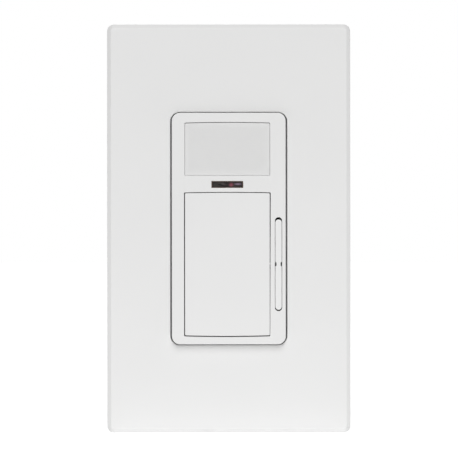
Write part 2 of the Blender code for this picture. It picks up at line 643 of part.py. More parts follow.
def back_housing():
    half_x = HOUSING_WIDTH / 2
    outline = rounded_rectangle(HOUSING_WIDTH, HOUSING_HEIGHT, 2.5)
    housing = slab("back_housing", outline, HOUSING_FRONT, HOUSING_BACK, BLACK)
    inner = rounded_rectangle(HOUSING_WIDTH - 2 * HOUSING_WALL, HOUSING_HEIGHT - 2 * HOUSING_WALL, 1.0)
    cut(housing, slab("housing_hollow", inner, HOUSING_FRONT - 1, HOUSING_BACK - HOUSING_WALL))
    for side in (-1, 1):
        for end in (-1, 1):
            x, z = side * HOUSING_SCREW_X, end * HOUSING_SCREW_Z
            boss = (x, HOUSING_FRONT, z), (x, HOUSING_BACK - 0.5, z)
            join(housing, rod("housing_boss", *boss, 2.9))
    for side in (-1, 1):
        for end in (-1, 1):
            x, z = side * HOUSING_SCREW_X, end * HOUSING_SCREW_Z
            behind = (x, HOUSING_BACK + 1, z)
            cut(housing, rod("housing_bore", (x, -1, z), behind, 1.6, None, 16))
            cut(housing, rod("housing_counterbore", (x, HOUSING_BACK - 2.6, z), behind, 2.5))
            pocket_z, pocket_y = end * TERMINAL_Z, TERMINAL_Y
            inside, outside = side * 12.6, side * (half_x - 0.5)
            low = (min(inside, outside), pocket_y - 5.6, pocket_z - 5.6)
            high = (max(inside, outside), pocket_y + 5.6, pocket_z + 5.6)
            join(housing, box("terminal_block", low, high))
            inside, outside = side * 14.0, side * (half_x + 2)
            low = (min(inside, outside), pocket_y - 4.5, pocket_z - 4.5)
            high = (max(inside, outside), pocket_y + 4.5, pocket_z + 4.5)
            cut(housing, box("terminal_pocket", low, high))
            corner = ("right" if side > 0 else "left") + "_" + ("top" if end > 0 else "bottom")
            screw(
                "housing_screw_" + corner,
                (x, HOUSING_BACK - 2.6 + GAP, z),
                (0, 1, 0),
                2.2,
                1.6,
                1.15,
                30.0,
                STEEL,
            )
    return housing


def terminals():
    for side_name, side in (("left", -1), ("right", 1)):
        for end_name, end in (("top", 1), ("bottom", -1)):
            name = side_name + "_" + end_name
            z = end * TERMINAL_Z
            inner, outer = sorted((side * 14.3, side * 15.4))
            low = (inner, TERMINAL_Y - 4.0, z - 4.0)
            plate = box("terminal_plate_" + name, low, (outer, TERMINAL_Y + 4.0, z + 4.0), BRASS, 0.2)
            bore = (side * 13, TERMINAL_Y, z), (side * 17, TERMINAL_Y, z)
            cut(plate, rod("terminal_plate_hole", *bore, 2.0, None, 16))
            screw(
                "terminal_screw_" + name,
                (side * 17.6, TERMINAL_Y, z),
                (side, 0, 0),
                3.6,
                2.0,
                1.65,
                3.2,
                BRASS,
            )


wallplate_cover()
wallplate_subplate()
mounting_strap()
strap_screws()
face_frame()
sensor_lens()
indicator_window()
paddle()
paddle_return_spring()
dimmer_bar()
switch_carrier()
control_board()
power_board()
back_housing()
terminals()
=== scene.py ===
# %% [markdown]
# # An in-wall dimmer with a motion sensor
# This notebook gives a packed mechanical model its finished surfaces. The model's solids are
# plain, so each visible shell is modelled again here with real seams, fillets and mould
# details, and every piece gets a procedural material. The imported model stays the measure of
# everything: each size below is read from it or set against it.

import json
import math

import bmesh
import bpy
from mathutils import Matrix, Vector


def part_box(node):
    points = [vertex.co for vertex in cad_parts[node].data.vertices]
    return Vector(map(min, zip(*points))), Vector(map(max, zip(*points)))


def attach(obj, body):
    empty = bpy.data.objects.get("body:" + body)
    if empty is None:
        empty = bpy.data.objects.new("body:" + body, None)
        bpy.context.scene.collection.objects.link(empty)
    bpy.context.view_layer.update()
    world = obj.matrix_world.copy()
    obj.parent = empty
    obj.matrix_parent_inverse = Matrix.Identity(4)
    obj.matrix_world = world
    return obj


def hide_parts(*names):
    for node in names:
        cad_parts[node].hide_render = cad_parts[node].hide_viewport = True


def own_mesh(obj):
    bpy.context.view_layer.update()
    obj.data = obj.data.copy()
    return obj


MM = 0.001
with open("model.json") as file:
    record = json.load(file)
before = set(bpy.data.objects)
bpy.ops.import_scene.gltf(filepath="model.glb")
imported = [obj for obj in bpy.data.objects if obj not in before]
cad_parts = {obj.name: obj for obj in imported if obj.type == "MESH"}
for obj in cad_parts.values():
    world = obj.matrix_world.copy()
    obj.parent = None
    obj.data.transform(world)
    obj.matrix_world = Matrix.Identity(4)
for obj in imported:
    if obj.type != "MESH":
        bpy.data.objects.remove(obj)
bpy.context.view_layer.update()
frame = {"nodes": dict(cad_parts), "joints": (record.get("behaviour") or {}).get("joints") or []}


def limits(node):
    """A node's lowest and highest corners in millimetres."""
    low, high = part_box(node)
    return low / MM, high / MM


COVER_LOW, COVER_HIGH = limits("wallplate_cover")
FRAME_LOW, FRAME_HIGH = limits("face_frame")
PADDLE_LOW, PADDLE_HIGH = limits("paddle")
BAR_LOW, BAR_HIGH = limits("dimmer_bar")
LENS_LOW, LENS_HIGH = limits("sensor_lens")
WINDOW_LOW, WINDOW_HIGH = limits("indicator_window")
FACE = FRAME_LOW.y
PLATE_FRONT = COVER_LOW.y
print("plate", [round(side, 2) for side in COVER_HIGH - COVER_LOW], "face at", round(FACE, 2))

# %% [markdown]
# ## Camera, room and light
# The device is seen square on, from straight in front, and a long lens keeps the plate's
# sides parallel. The field of view follows from two lengths: how wide a strip the camera
# sees at the plate, and how far away it stands. One softbox above throws the short shadow
# under the raised frame, and a glowing floor lifts the plate towards its foot.

# %% Camera
VIEW_WIDTH = 131.45
CAMERA_DISTANCE = 600.0
CAMERA_ROLL = 0.05
CAMERA_X, CAMERA_Z = 0.07, -0.12

optics = bpy.data.cameras.new("front_view")
optics.sensor_width = 36.0
optics.lens = optics.sensor_width * CAMERA_DISTANCE / VIEW_WIDTH
optics.clip_start, optics.clip_end = 0.01, 20.0
camera = bpy.data.objects.new("front_view", optics)
camera.location = Vector((CAMERA_X, PLATE_FRONT - CAMERA_DISTANCE, CAMERA_Z)) * MM
camera.rotation_euler = (math.radians(90), math.radians(CAMERA_ROLL), 0)
bpy.context.scene.collection.objects.link(camera)
bpy.context.scene.camera = camera
bpy.context.scene.view_settings.view_transform = "Standard"
print("camera lens", round(optics.lens, 1), "mm")

# %% [markdown]
# ## One helper for every node tree
# Materials and Geometry Nodes are both graphs of nodes, so one small class builds both. A
# Wire is the output of a node, and sums and products of wires add Math nodes, which keeps a
# formula readable.


# %% Node tree helper
class Wire:
    """One output of a node."""

    def __init__(self, graph, socket):
        self.graph, self.socket = graph, socket

    def math(self, operation, *values):
        return self.graph.node("ShaderNodeMath", {"operation": operation}, dict(enumerate(values)))

    def __add__(self, other):
        return self.math("ADD", self, other)

    def __radd__(self, other):
        return self.math("ADD", other, self)

    def __sub__(self, other):
        return self.math("SUBTRACT", self, other)

    def __rsub__(self, other):
        return self.math("SUBTRACT", other, self)

    def __mul__(self, other):
        return self.math("MULTIPLY", self, other)

    def __rmul__(self, other):
        return self.math("MULTIPLY", other, self)

    def __truediv__(self, other):
        return self.math("DIVIDE", self, other)

    def size(self):
        """The value without its sign."""
        return self.math("ABSOLUTE", self)

    def between(self, low, high):
        """0 at low, 1 at high, and clamped outside."""
        return self.graph.node("ShaderNodeMapRange", None, {0: self, 1: low, 2: high})


class Graph:
    """A node tree, and the one way to add a node to it."""

    def __init__(self, tree):
        self.tree = tree

    def node(self, kind, settings=None, sockets=None, output=0):
        made = self.tree.nodes.new(kind)
        for key, value in (settings or {}).items():
            setattr(made, key, value)
        for key, value in (sockets or {}).items():
            self.join(value, made.inputs[key])
        return Wire(self, made.outputs[output]) if made.outputs else made

    def along(self, axis, vector):
        """One axis of a vector: X, Y or Z."""
        return self.node("ShaderNodeSeparateXYZ", None, {0: vector}, axis)

    def join(self, value, socket):
        if isinstance(value, Wire):
            self.tree.links.new(value.socket, socket)
        else:
            socket.default_value = value


class Finish(Graph):
    """A material on its Principled shader, with patterns on Object coordinates."""

    def __init__(self, name):
        self.material = bpy.data.materials.new(name)
        self.material.use_nodes = True
        super().__init__(self.material.node_tree)
        self.shader = self.tree.nodes["Principled BSDF"]

    def where(self):
        return self.node("ShaderNodeTexCoord", output="Object")

    def place(self, scale=(1.0, 1.0, 1.0), turn=(0.0, 0.0, 0.0), shift=(0.0, 0.0, 0.0)):
        sockets = {"Vector": self.where(), "Location": shift, "Rotation": turn, "Scale": scale}
        return self.node("ShaderNodeMapping", None, sockets)

    def noise(self, size, detail=2.0, stretch=(1.0, 1.0, 1.0)):
        """Cloudy noise whose patches are about size millimetres across."""
        sockets = {"Vector": self.place(stretch), "Scale": 1 / (size * MM), "Detail": detail}
        return self.node("ShaderNodeTexNoise", None, sockets)

    def mix(self, share, first, second):
        sockets = {0: share, 6: self.colour(first), 7: self.colour(second)}
        return self.node("ShaderNodeMix", {"data_type": "RGBA"}, sockets, 2)

    def colour(self, value):
        return value if isinstance(value, Wire) else (*value, 1.0)

    def bump(self, height, depth, under=None):
        sockets = {"Height": height, "Distance": depth * MM, "Strength": 1.0}
        if under is not None:
            sockets["Normal"] = under
        return self.node("ShaderNodeBump", None, sockets)

    def surface(self, **sockets):
        for name, value in sockets.items():
            value = self.colour(value) if isinstance(value, tuple) else value
            self.join(value, self.shader.inputs[name.replace("_", " ")])
        return self.material


print("node helpers ready")

# %% [markdown]
# ## World and softbox
# The world is white to the camera and a softer, even grey as a light source, so that the
# background stays clean while seams keep their depth. A Light Path node makes the mix. The
# softbox is as tall as a wall seen from the plate, so the shadow it throws under the frame
# starts dark and fades out over a few millimetres.

# %% World and lights
AMBIENT = 0.17
world = bpy.data.worlds.new("white_room")
bpy.context.scene.world = world
world.use_nodes = True
room = Graph(world.node_tree)
room.tree.nodes.clear()
seen = room.node("ShaderNodeLightPath", output="Is Camera Ray")
white = room.node("ShaderNodeBackground", None, {"Color": (1.0, 1.0, 1.0, 1.0)})
grey = room.node("ShaderNodeBackground", None, {"Color": (AMBIENT, AMBIENT, AMBIENT, 1.0)})
lit = room.node("ShaderNodeMixShader", None, {0: seen, 1: grey, 2: white})
room.node("ShaderNodeOutputWorld", None, {"Surface": lit})


def softbox(name, place, size, watts):
    """A rectangular light at a place in millimetres, turned towards the plate's middle."""
    light = bpy.data.lights.new(name, "AREA")
    light.shape = "RECTANGLE"
    light.size, light.size_y = size[0] * MM, size[1] * MM
    light.energy = watts
    holder = bpy.data.objects.new(name, light)
    holder.location = Vector(place) * MM
    holder.rotation_euler = (-Vector(place)).to_track_quat("-Z", "Y").to_euler()
    bpy.context.scene.collection.objects.link(holder)


LIGHT_RISE, LIGHT_SPAN, LIGHT_REACH = 40.0, 42.0, 1500.0
LIGHT_SIDE, LIGHT_WIDTH, LIGHT_WATTS = 40.0, 1000.0, 17.6
rise = math.radians(LIGHT_RISE)
tall = 2 * LIGHT_REACH * math.tan(math.radians(LIGHT_SPAN / 2))
spot = (LIGHT_SIDE, -LIGHT_REACH * math.cos(rise), LIGHT_REACH * math.sin(rise))
softbox("above", spot, (LIGHT_WIDTH, tall), LIGHT_WATTS)
print("softbox", round(tall), "mm tall, ambient", AMBIENT)

# %% [markdown]
# ## Floor
# A pale floor lies just under the plate's foot. The camera sees it nearly white. As a light
# it glows like a lit table as far as FLOOR_START in front of the plate and fades out at
# FLOOR_END, and a small bright card lies close to the plate, seen only by reflections, so
# that the lower bevel catches a highlight.

# %% Pale floor
FLOOR_DROP, FLOOR_REACH = 0.2, 3000.0
FLOOR_START, FLOOR_END = 120.0, 420.0
FLOOR_LIGHT, FLOOR_SEEN = 0.96, 0.95
CARD_LIGHT, CARD_END, CARD_GAP = 2.6, 40.0, 0.6 * abs(PLATE_FRONT)
shape = bmesh.new()
bmesh.ops.create_grid(shape, x_segments=1, y_segments=1, size=FLOOR_REACH * MM)
bmesh.ops.translate(shape, vec=(0, 0, (COVER_LOW.z - FLOOR_DROP) * MM), verts=shape.verts)
floor_mesh = bpy.data.meshes.new("floor")
shape.to_mesh(floor_mesh)
shape.free()
floor = bpy.data.objects.new("floor", floor_mesh)
bpy.context.scene.collection.objects.link(floor)
pale = Finish("pale_floor")
grain = pale.noise(6.0, 3)
pale.surface(
    Base_Color=pale.mix(grain, (0.30, 0.30, 0.30), (0.32, 0.32, 0.32)),
    Roughness=0.9,
    Emission_Color=(1.0, 1.0, 1.0),
    Emission_Strength=FLOOR_SEEN,
)
forward = pale.along("Y", pale.where())
near = forward.between(-FLOOR_END * MM, -FLOOR_START * MM)
under = pale.along("X", pale.where()).size().between(COVER_HIGH.x * MM, (COVER_HIGH.x - 2) * MM)
glossy = pale.node("ShaderNodeLightPath", output="Is Glossy Ray")
before = forward.between(0.0, -CARD_GAP * MM)
card = forward.between(-CARD_END * MM, -CARD_END / 2 * MM) * before * under * glossy
level = AMBIENT + near * (FLOOR_LIGHT - AMBIENT) + card * CARD_LIGHT
light = pale.node("ShaderNodeCombineColor", None, {0: level, 1: level, 2: level})
light = pale.node("ShaderNodeEmission", None, {"Color": light})
looked = pale.node("ShaderNodeLightPath", output="Is Camera Ray")
shown = Wire(pale, pale.shader.outputs[0])
both = pale.node("ShaderNodeMixShader", None, {0: looked, 1: light, 2: shown})
pale.join(both, pale.tree.nodes["Material Output"].inputs[0])
floor_mesh.materials.append(pale.material)
print("floor at", round(COVER_LOW.z - FLOOR_DROP, 2))

# %% [markdown]
# ## Moulded plastic
# Injection-moulded parts copy the tool's surface. A satin part has a spark-eroded grain a
# few tenths of a millimetre across and a few microns deep, and its gloss wanders a little
# where the melt cooled. Two sizes of noise make both: one bends the normal, the other moves
# colour and roughness. Polished tools give a finer grain, and so a glossier face.


# %% Plastic finishes
GLOSS_OF_GRAIN, GLOSS_OF_FLOW = 0.16, 0.08


def moulded(name, tone, roughness, grain=0.28, depth=0.0022, drift=0.012, coat=0.0):
    finish = Finish(name)
    fine = finish.noise(grain, 2)
    slow = finish.noise(18.0, 3)
    darker = tuple(channel * (1 - drift) for channel in tone)
    lighter = tuple(min(channel * (1 + drift), 1.0) for channel in tone)
    return finish.surface(
        Base_Color=finish.mix(slow, darker, lighter),
        Roughness=roughness + (fine - 0.5) * GLOSS_OF_GRAIN + (slow - 0.5) * GLOSS_OF_FLOW,
        Normal=finish.bump(fine, depth),
        Coat_Weight=coat,
    )


PLATE_PLASTIC = moulded("satin_white", (0.80, 0.80, 0.797), 0.42)
FACE_PLASTIC = moulded("face_white", (0.80, 0.80, 0.797), 0.38, 0.22, 0.0016)
PADDLE_PLASTIC = moulded("paddle_white", (0.808, 0.808, 0.806), 0.34, 0.2, 0.0014)
# painted light: the bar is the paddle's plastic made a little lighter for the light its rounded
# face catches
BAR_PLASTIC = moulded("bar_white", (0.825, 0.825, 0.823), 0.32, 0.2, 0.0014)
NYLON = moulded("nylon", (0.70, 0.71, 0.70), 0.5)
CARRIER_GREY = moulded("carrier_grey", (0.42, 0.43, 0.43), 0.55, 0.35, 0.004)
HOUSING_BLACK = moulded("housing_black", (0.035, 0.036, 0.038), 0.5, 0.4, 0.008, 0.1)
CASE_BLACK = moulded("case_black", (0.022, 0.022, 0.024), 0.45, 0.15, 0.003, 0.1)
RELAY_BLUE = moulded("relay_blue", (0.03, 0.11, 0.42), 0.3, 0.3, 0.002, 0.06, 0.3)
FILM_YELLOW = moulded("film_yellow", (0.78, 0.52, 0.06), 0.35, 0.5, 0.004, 0.08, 0.4)
print("plastics:", PLATE_PLASTIC.name, FACE_PLASTIC.name, HOUSING_BLACK.name)

# %% [markdown]
# ## Milky lens finish
# The sensor's lens is milky polyethylene. Light enters it and scatters, so its rim, which is
# backed by its own side walls, looks a little brighter than its middle. That brighter rim is
# painted light: a soft mask on the distance from the rim lifts the base colour there, and a
# small subsurface share softens the rest.


# %% Milky lens
def rim_glow(finish, low, high, reach):
    """1 at the edge of a box in X and Z, falling to 0 at reach inside it."""
    middle, half = (low + high) / 2 * MM, (high - low) / 2 * MM
    side = half.x - (finish.along("X", finish.where()) - middle.x).size()
    end = half.z - (finish.along("Z", finish.where()) - middle.z).size()
    return 1 - side.math("MINIMUM", side, end).between(0.0, reach * MM)


def milky():
    finish = Finish("milky_lens")
    cloud = finish.noise(3.0, 3)
    glow = rim_glow(finish, LENS_LOW, LENS_HIGH, 3.5)
    body = finish.mix(cloud, (0.715, 0.715, 0.712), (0.730, 0.730, 0.727))
    finish.shader.inputs["Subsurface Radius"].default_value = (1.0, 1.0, 1.0)
    return finish.surface(
        # painted light: a lighter base colour towards the rim
        Base_Color=finish.mix(glow * glow, body, (0.80, 0.80, 0.797)),
        Roughness=0.48 + (cloud - 0.5) * 0.1,
        Normal=finish.bump(finish.noise(0.4, 2), 0.002),
        Subsurface_Weight=0.15,
        Subsurface_Scale=1.5 * MM,
    )


MILKY = milky()
print("lens finish:", MILKY.name)

# %% [markdown]
# ## Smoked window finish
# The indicator window is a smoked, polished lid over a red lamp and a light sensor. The lamp
# is lit faintly, and its light is painted on the lid as emission with soft oval masks, so it
# stays on the surface from any side: a pink spot right of the middle, a painted violet
# highlight beside it and a faint painted light streak left of it. A painted pinkish halo of
# the lamp's light lifts the base colour round the spot, and the base colour turns brown in a
# thin band round the lid's rim.


# %% Smoked window
def oval(finish, x, z, reach_x, reach_z):
    """A soft oval spot: 1 in its middle, 0 at its edge."""
    scale = (1 / (reach_x * MM), 0.0, 1 / (reach_z * MM))
    shift = (-x / reach_x, 0.0, -z / reach_z)
    where = finish.place(scale, shift=shift)
    reach = finish.node("ShaderNodeVectorMath", {"operation": "LENGTH"}, {0: where}, "Value")
    return 1 - reach.between(0.0, 1.0)


WINDOW_DROP = 0.1
LID_RIM, LID_RIM_SOFT = Vector((0.72, 0.0, 0.3)), 0.25


def smoked():
    finish = Finish("smoked_polish")
    middle = (WINDOW_LOW + WINDOW_HIGH) / 2 - Vector((0, 0, WINDOW_DROP))
    streak = finish.noise(0.55, 4, (0.3, 1.0, 1.6)).between(0.38, 0.66)
    # painted light: the lamp's glow, a violet highlight and a light streak, all emission on the lid
    lamp = oval(finish, middle.x + 1.1, middle.z - 0.05, 0.85, 0.75)
    glint = oval(finish, middle.x + 3.1, middle.z + 0.12, 1.35, 0.36)
    light_streak = oval(finish, middle.x - 1.6, middle.z + 0.1, 2.4, 0.22)
    halo = oval(finish, middle.x + 0.8, middle.z, 4.2, 1.3)
    rim_high = WINDOW_HIGH - LID_RIM - Vector((0, 0, 2 * WINDOW_DROP))
    edge = rim_glow(finish, WINDOW_LOW + LID_RIM, rim_high, LID_RIM_SOFT)
    glass = finish.mix(streak, (0.009, 0.009, 0.010), (0.042, 0.038, 0.035))
    glass = finish.mix(edge, glass, (0.19, 0.12, 0.09))
    light = finish.mix(lamp * (0.55 + streak * 0.45), (0.0, 0.0, 0.0), (0.34, 0.07, 0.11))
    light = finish.mix(glint * (0.5 + streak * 0.5), light, (0.50, 0.36, 0.50))
    light = finish.mix(light_streak * streak * 0.5, light, (0.24, 0.20, 0.22))
    return finish.surface(
        # painted halo of the lamp's light in the base colour
        Base_Color=finish.mix(halo * 0.18, glass, (0.075, 0.04, 0.042)),
        Roughness=0.16 + (streak - 0.5) * 0.06,
        Emission_Color=light,
        Emission_Strength=0.8,
        Coat_Weight=0.3,
    )


SMOKED = smoked()
print("window finish:", SMOKED.name)

# %% [markdown]
# ## Metals
# Rolled and stamped aluminium carries fine straight lines from the rollers. They are noise
# stretched a hundredfold along one axis. Zinc plating is smooth with a faint cold and warm
# mottle, and brass is the same recipe with its own tones.


# %% Metal finishes
LINE_WIDTH, LINE_STRETCH = 0.12, 0.012


def brushed(name, tone, roughness, along):
    finish = Finish(name)
    stretch = tuple(LINE_STRETCH if axis == along else 1.0 for axis in "xyz")
    lines = finish.noise(LINE_WIDTH, 3, stretch)
    patch = finish.noise(9.0, 2)
    return finish.surface(
        Base_Color=finish.mix(lines, tuple(0.93 * channel for channel in tone), tone),
        Metallic=1.0,
        Roughness=roughness + (lines - 0.5) * 0.22 + (patch - 0.5) * 0.1,
        Normal=finish.bump(lines, 0.0015),
    )


def plated(name, cold, warm, roughness):
    finish = Finish(name)
    mottle = finish.noise(0.9, 3)
    slow = finish.noise(4.0, 2)
    return finish.surface(
        Base_Color=finish.mix(slow, cold, warm),
        Metallic=1.0,
        Roughness=roughness + (mottle - 0.5) * 0.2,
        Normal=finish.bump(mottle, 0.001),
    )


ALUMINIUM = brushed("rolled_aluminium", (0.76, 0.77, 0.78), 0.34, "z")
ZINC = plated("zinc_plate", (0.60, 0.62, 0.66), (0.66, 0.65, 0.60), 0.26)
BRASS = plated("cast_brass", (0.74, 0.55, 0.24), (0.80, 0.62, 0.30), 0.28)
GREEN_DYE = plated("green_dye", (0.03, 0.34, 0.12), (0.05, 0.42, 0.16), 0.3)
TIN = plated("tinned_leads", (0.72, 0.72, 0.71), (0.66, 0.67, 0.69), 0.3)
COPPER = plated("enamelled_copper", (0.70, 0.27, 0.10), (0.78, 0.36, 0.15), 0.24)
print("metals:", ALUMINIUM.name, ZINC.name, BRASS.name)

# %% [markdown]
# ## Electronics
# Solder mask is a thin green lacquer over copper. Where copper lies under it, it looks
# lighter, so a brick pattern of pads and tracks drives colour and a slight step. Ferrite is
# a dull sintered grey, the fibre sheet has crossed fibres, and glass and clear plastic let
# light through by transmission.


# %% Electronic finishes
def solder_mask():
    finish = Finish("solder_mask")
    bricks = {"offset": 0.37, "squash": 1.7}
    where = finish.place((1.0, 1.0, 1.0), (math.radians(90), 0.0, 0.0))
    sizes = {"Vector": where, "Scale": 260.0, "Mortar Size": 0.035, "Brick Width": 0.9}
    tracks = finish.node("ShaderNodeTexBrick", bricks, sizes, "Fac")
    speckle = finish.noise(0.5, 3)
    green = finish.mix(speckle, (0.012, 0.135, 0.045), (0.016, 0.165, 0.058))
    return finish.surface(
        Base_Color=finish.mix(tracks, (0.022, 0.225, 0.075), green),
        Roughness=0.3 + (speckle - 0.5) * 0.1,
        Normal=finish.bump(1 - tracks, 0.02),
    )


def fibre():
    finish = Finish("fibre_sheet")
    long_way = finish.noise(0.5, 4, (1.0, 1.0, 0.1))
    cross_way = finish.noise(0.5, 4, (0.1, 1.0, 1.0))
    fibres = (long_way + cross_way) / 2
    return finish.surface(
        Base_Color=finish.mix(fibres, (0.36, 0.27, 0.16), (0.60, 0.50, 0.34)),
        Roughness=0.72 + (fibres - 0.5) * 0.3,
        Normal=finish.bump(fibres, 0.02),
    )


def clear(name, tone, roughness, share):
    finish = Finish(name)
    haze = finish.noise(1.2, 2)
    return finish.surface(
        Base_Color=finish.mix(haze, tone, tuple(0.96 * channel for channel in tone)),
        Roughness=roughness + haze * 0.04,
        Transmission_Weight=share,
        IOR=1.49,
    )


def sleeve():
    """A shrunk sleeve with one pale stripe down the side that marks the negative lead."""
    finish = Finish("capacitor_sleeve")
    side = limits("electrolytic_capacitor")[1].x
    stripe = finish.along("X", finish.where()).between((side - 0.9) * MM, (side - 0.8) * MM)
    wrinkle = finish.noise(1.5, 3, (1.0, 0.2, 1.0))
    return finish.surface(
        Base_Color=finish.mix(stripe, (0.010, 0.014, 0.035), (0.45, 0.47, 0.50)),
        Roughness=0.3 + (wrinkle - 0.5) * 0.15,
        Normal=finish.bump(wrinkle, 0.02),
    )


SOLDER_MASK = solder_mask()
FIBRE = fibre()
CLEAR = clear("clear_plastic", (0.93, 0.94, 0.95), 0.08, 0.9)
GLASS = clear("fuse_glass", (0.97, 0.98, 0.98), 0.02, 1.0)
LAMP_RED = clear("lamp_red", (0.85, 0.10, 0.08), 0.15, 0.4)
SLEEVE = sleeve()
FERRITE = moulded("sintered_ferrite", (0.045, 0.045, 0.05), 0.62, 0.12, 0.008, 0.15)
TAPE = moulded("yellow_tape", (0.72, 0.50, 0.10), 0.4, 0.6, 0.006, 0.06)
print("electronics:", SOLDER_MASK.name, FIBRE.name, FERRITE.name)

# %% [markdown]
# ## Shells built ring by ring
# A moulded shell is a stack of rounded rectangles: its back rim, up the side wall, round the
# fillet and onto the face. Each ring has the same number of points, so neighbours are
# bridged with quads, and the flat faces left between rings are filled, holes and all. It is
# modelled in millimetres and becomes metres at the end. A subdivided cage could do this too,
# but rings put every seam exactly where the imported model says.

# %% Rings and fills
LEAST_CORNER = 0.04
ARC_STEPS, RUN_STEPS = 7, 10


def outline(width, height, corner, centre=(0.0, 0.0), arch=(0.0, 0.0)):
    """A rounded rectangle in X and Z. arch is how far its top's and bottom's ends fall back."""
    half_x, half_z = width / 2, height / 2
    corner = min(max(corner, LEAST_CORNER), half_x - 0.001, half_z - 0.001)
    points = []
    for quarter in range(4):
        sign_x = 1 if quarter in (0, 3) else -1
        sign_z = 1 if quarter < 2 else -1
        flat_x, flat_z = sign_x * (half_x - corner), sign_z * (half_z - corner)
        for step in range(ARC_STEPS + 1):
            turn = math.radians(90 * (quarter + step / ARC_STEPS))
            points.append((flat_x + corner * math.cos(turn), flat_z + corner * math.sin(turn)))
        if quarter in (0, 2):
            run = [1 - 2 * step / RUN_STEPS for step in range(1, RUN_STEPS)]
            points += [(flat_x * share, sign_z * half_z) for share in run]
    bent = []
    for x, z in points:
        fall = arch[0] if z > 0 else -arch[1]
        bent.append((centre[0] + x, centre[1] + z - fall * (x / half_x) ** 2))
    return bent


def bridge(shape, first, second):
    count = len(first)
    for index in range(count):
        after = (index + 1) % count
        shape.faces.new((first[index], first[after], second[after], second[index]))


def rings(shape, profile, width, height, corner, centre=(0.0, 0.0), arch=(0.0, 0.0)):
    """A loop of vertices for each (inset, y) of the profile, bridged one to the next."""
    made = []
    for inset, y in profile:
        sides = outline(width - 2 * inset, height - 2 * inset, corner - inset, centre, arch)
        made.append([shape.verts.new((x, y, z)) for x, z in sides])
    for first, second in zip(made, made[1:]):
        bridge(shape, first, second)
    return made


def fill(shape, *loops):
    """Fills the flat face inside the first loop and outside the others."""
    edges = []
    for loop in loops:
        for first, second in zip(loop, loop[1:] + loop[:1]):
            edges.append(shape.edges.get((first, second)) or shape.edges.new((first, second)))
    bmesh.ops.triangle_fill(shape, use_beauty=True, edges=edges, normal=(0, -1, 0))


def round_in(radius, face, steps=4):
    """Profile of an outer edge, from its side wall onto the face."""
    turns = [math.radians(90 * step / steps) for step in range(steps + 1)]
    return [(radius * (1 - math.cos(t)), face + radius * (1 - math.sin(t))) for t in turns]


def round_out(radius, face, steps=4):
    """Profile of a hole's edge, from the face into the hole."""
    turns = [math.radians(90 * step / steps) for step in range(steps + 1)]
    return [(-radius * (1 - math.sin(t)), face + radius * (1 - math.cos(t))) for t in turns]


print("ring tools ready")

# %% [markdown]
# ## From shapes to pieces
# A finished piece is an object at the origin whose mesh holds its place. Booleans and other
# modifiers are made real at once, so that only the weighted normals stay live. Each piece
# prints its faces and its open edges, which should be none.


# %% Pieces from shapes
def link(name, mesh):
    obj = bpy.data.objects.new(name, mesh)
    bpy.context.scene.collection.objects.link(obj)
    return obj


def shaded(obj, angle=32):
    """Smooth, with sharp edges kept, and normals that follow the large faces."""
    obj.data.shade_smooth()
    obj.data.set_sharp_from_angle(angle=math.radians(angle))
    weigh = obj.modifiers.new("even_normals", "WEIGHTED_NORMAL")
    weigh.keep_sharp = True
    return obj


def piece(name, shape, finish, scale=MM):
    """The object of a bmesh, its faces outward and its seams closed."""
    bmesh.ops.remove_doubles(shape, verts=shape.verts, dist=1e-5 * MM / scale)
    bmesh.ops.recalc_face_normals(shape, faces=shape.faces)
    mesh = bpy.data.meshes.new(name)
    shape.to_mesh(mesh)
    shape.free()
    mesh.transform(Matrix.Scale(scale, 4))
    mesh.materials.append(finish)
    return link(name, mesh)


def bake(obj):
    """Replaces the object's mesh by what its modifiers make of it."""
    graph = bpy.context.evaluated_depsgraph_get()
    mesh = bpy.data.meshes.new_from_object(obj.evaluated_get(graph))
    obj.modifiers.clear()
    obj.data = mesh
    return obj


def combine(obj, operation, *others):
    for other in others:
        step = obj.modifiers.new(operation.lower(), "BOOLEAN")
        step.operation = operation
        step.object = other
    bake(obj)
    for other in others:
        bpy.data.objects.remove(other)
    return obj


def block(shape, low, high, bevel=0.0, segments=2):
    """A box between two corners with rounded edges, as a closed lump of the shape."""
    low, high = Vector(low), Vector(high)
    made = bmesh.ops.create_cube(shape, size=1.0)["verts"]
    bmesh.ops.scale(shape, vec=high - low, verts=made)
    bmesh.ops.translate(shape, vec=(low + high) / 2, verts=made)
    if bevel:
        edges = list({edge for vert in made for edge in vert.link_edges})
        soft = dict(offset=bevel, segments=segments, profile=0.5, affect="EDGES")
        bmesh.ops.bevel(shape, geom=edges, **soft)


def post(shape, start, end, radius, end_radius=None, sides=24):
    """A round pin between two points, as a closed lump of the shape."""
    start, end = Vector(start), Vector(end)
    along = end - start
    turn = along.to_track_quat("Z", "Y").to_matrix().to_4x4()
    far = radius if end_radius is None else end_radius
    sizes = dict(segments=sides, radius1=radius, radius2=far, depth=along.length)
    place = Matrix.Translation((start + end) / 2) @ turn
    bmesh.ops.create_cone(shape, cap_ends=True, matrix=place, **sizes)


def cutter(build):
    """A hidden helper for a Boolean: build fills its shape."""
    shape = bmesh.new()
    build(shape)
    return piece("cutter", shape, PLATE_PLASTIC)


def show(obj, body, slot, *nodes):
    """Finishes a piece: it rides on a body and stands for its nodes; slot is not used."""
    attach(obj, body)
    if nodes:
        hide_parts(*nodes)
    shape = bmesh.new()
    shape.from_mesh(obj.data)
    loose = sum(not edge.is_manifold for edge in shape.edges)
    print(f"{obj.name}: {len(shape.faces)} faces, {loose} open edges, on {body}")
    shape.free()
    return obj


print("piece tools ready")

# %% [markdown]
# ## Wallplate cover
# The screwless cover is one thin moulding. A flat bevel runs all round its front, its side
# walls are straight, and a collar stands behind the opening. The profile goes from the back
# rim up the side, over the bevel, and starts again at the opening's fillet. Four hooks inside
# the long walls hold it on the plate behind, and short ribs stiffen those walls.

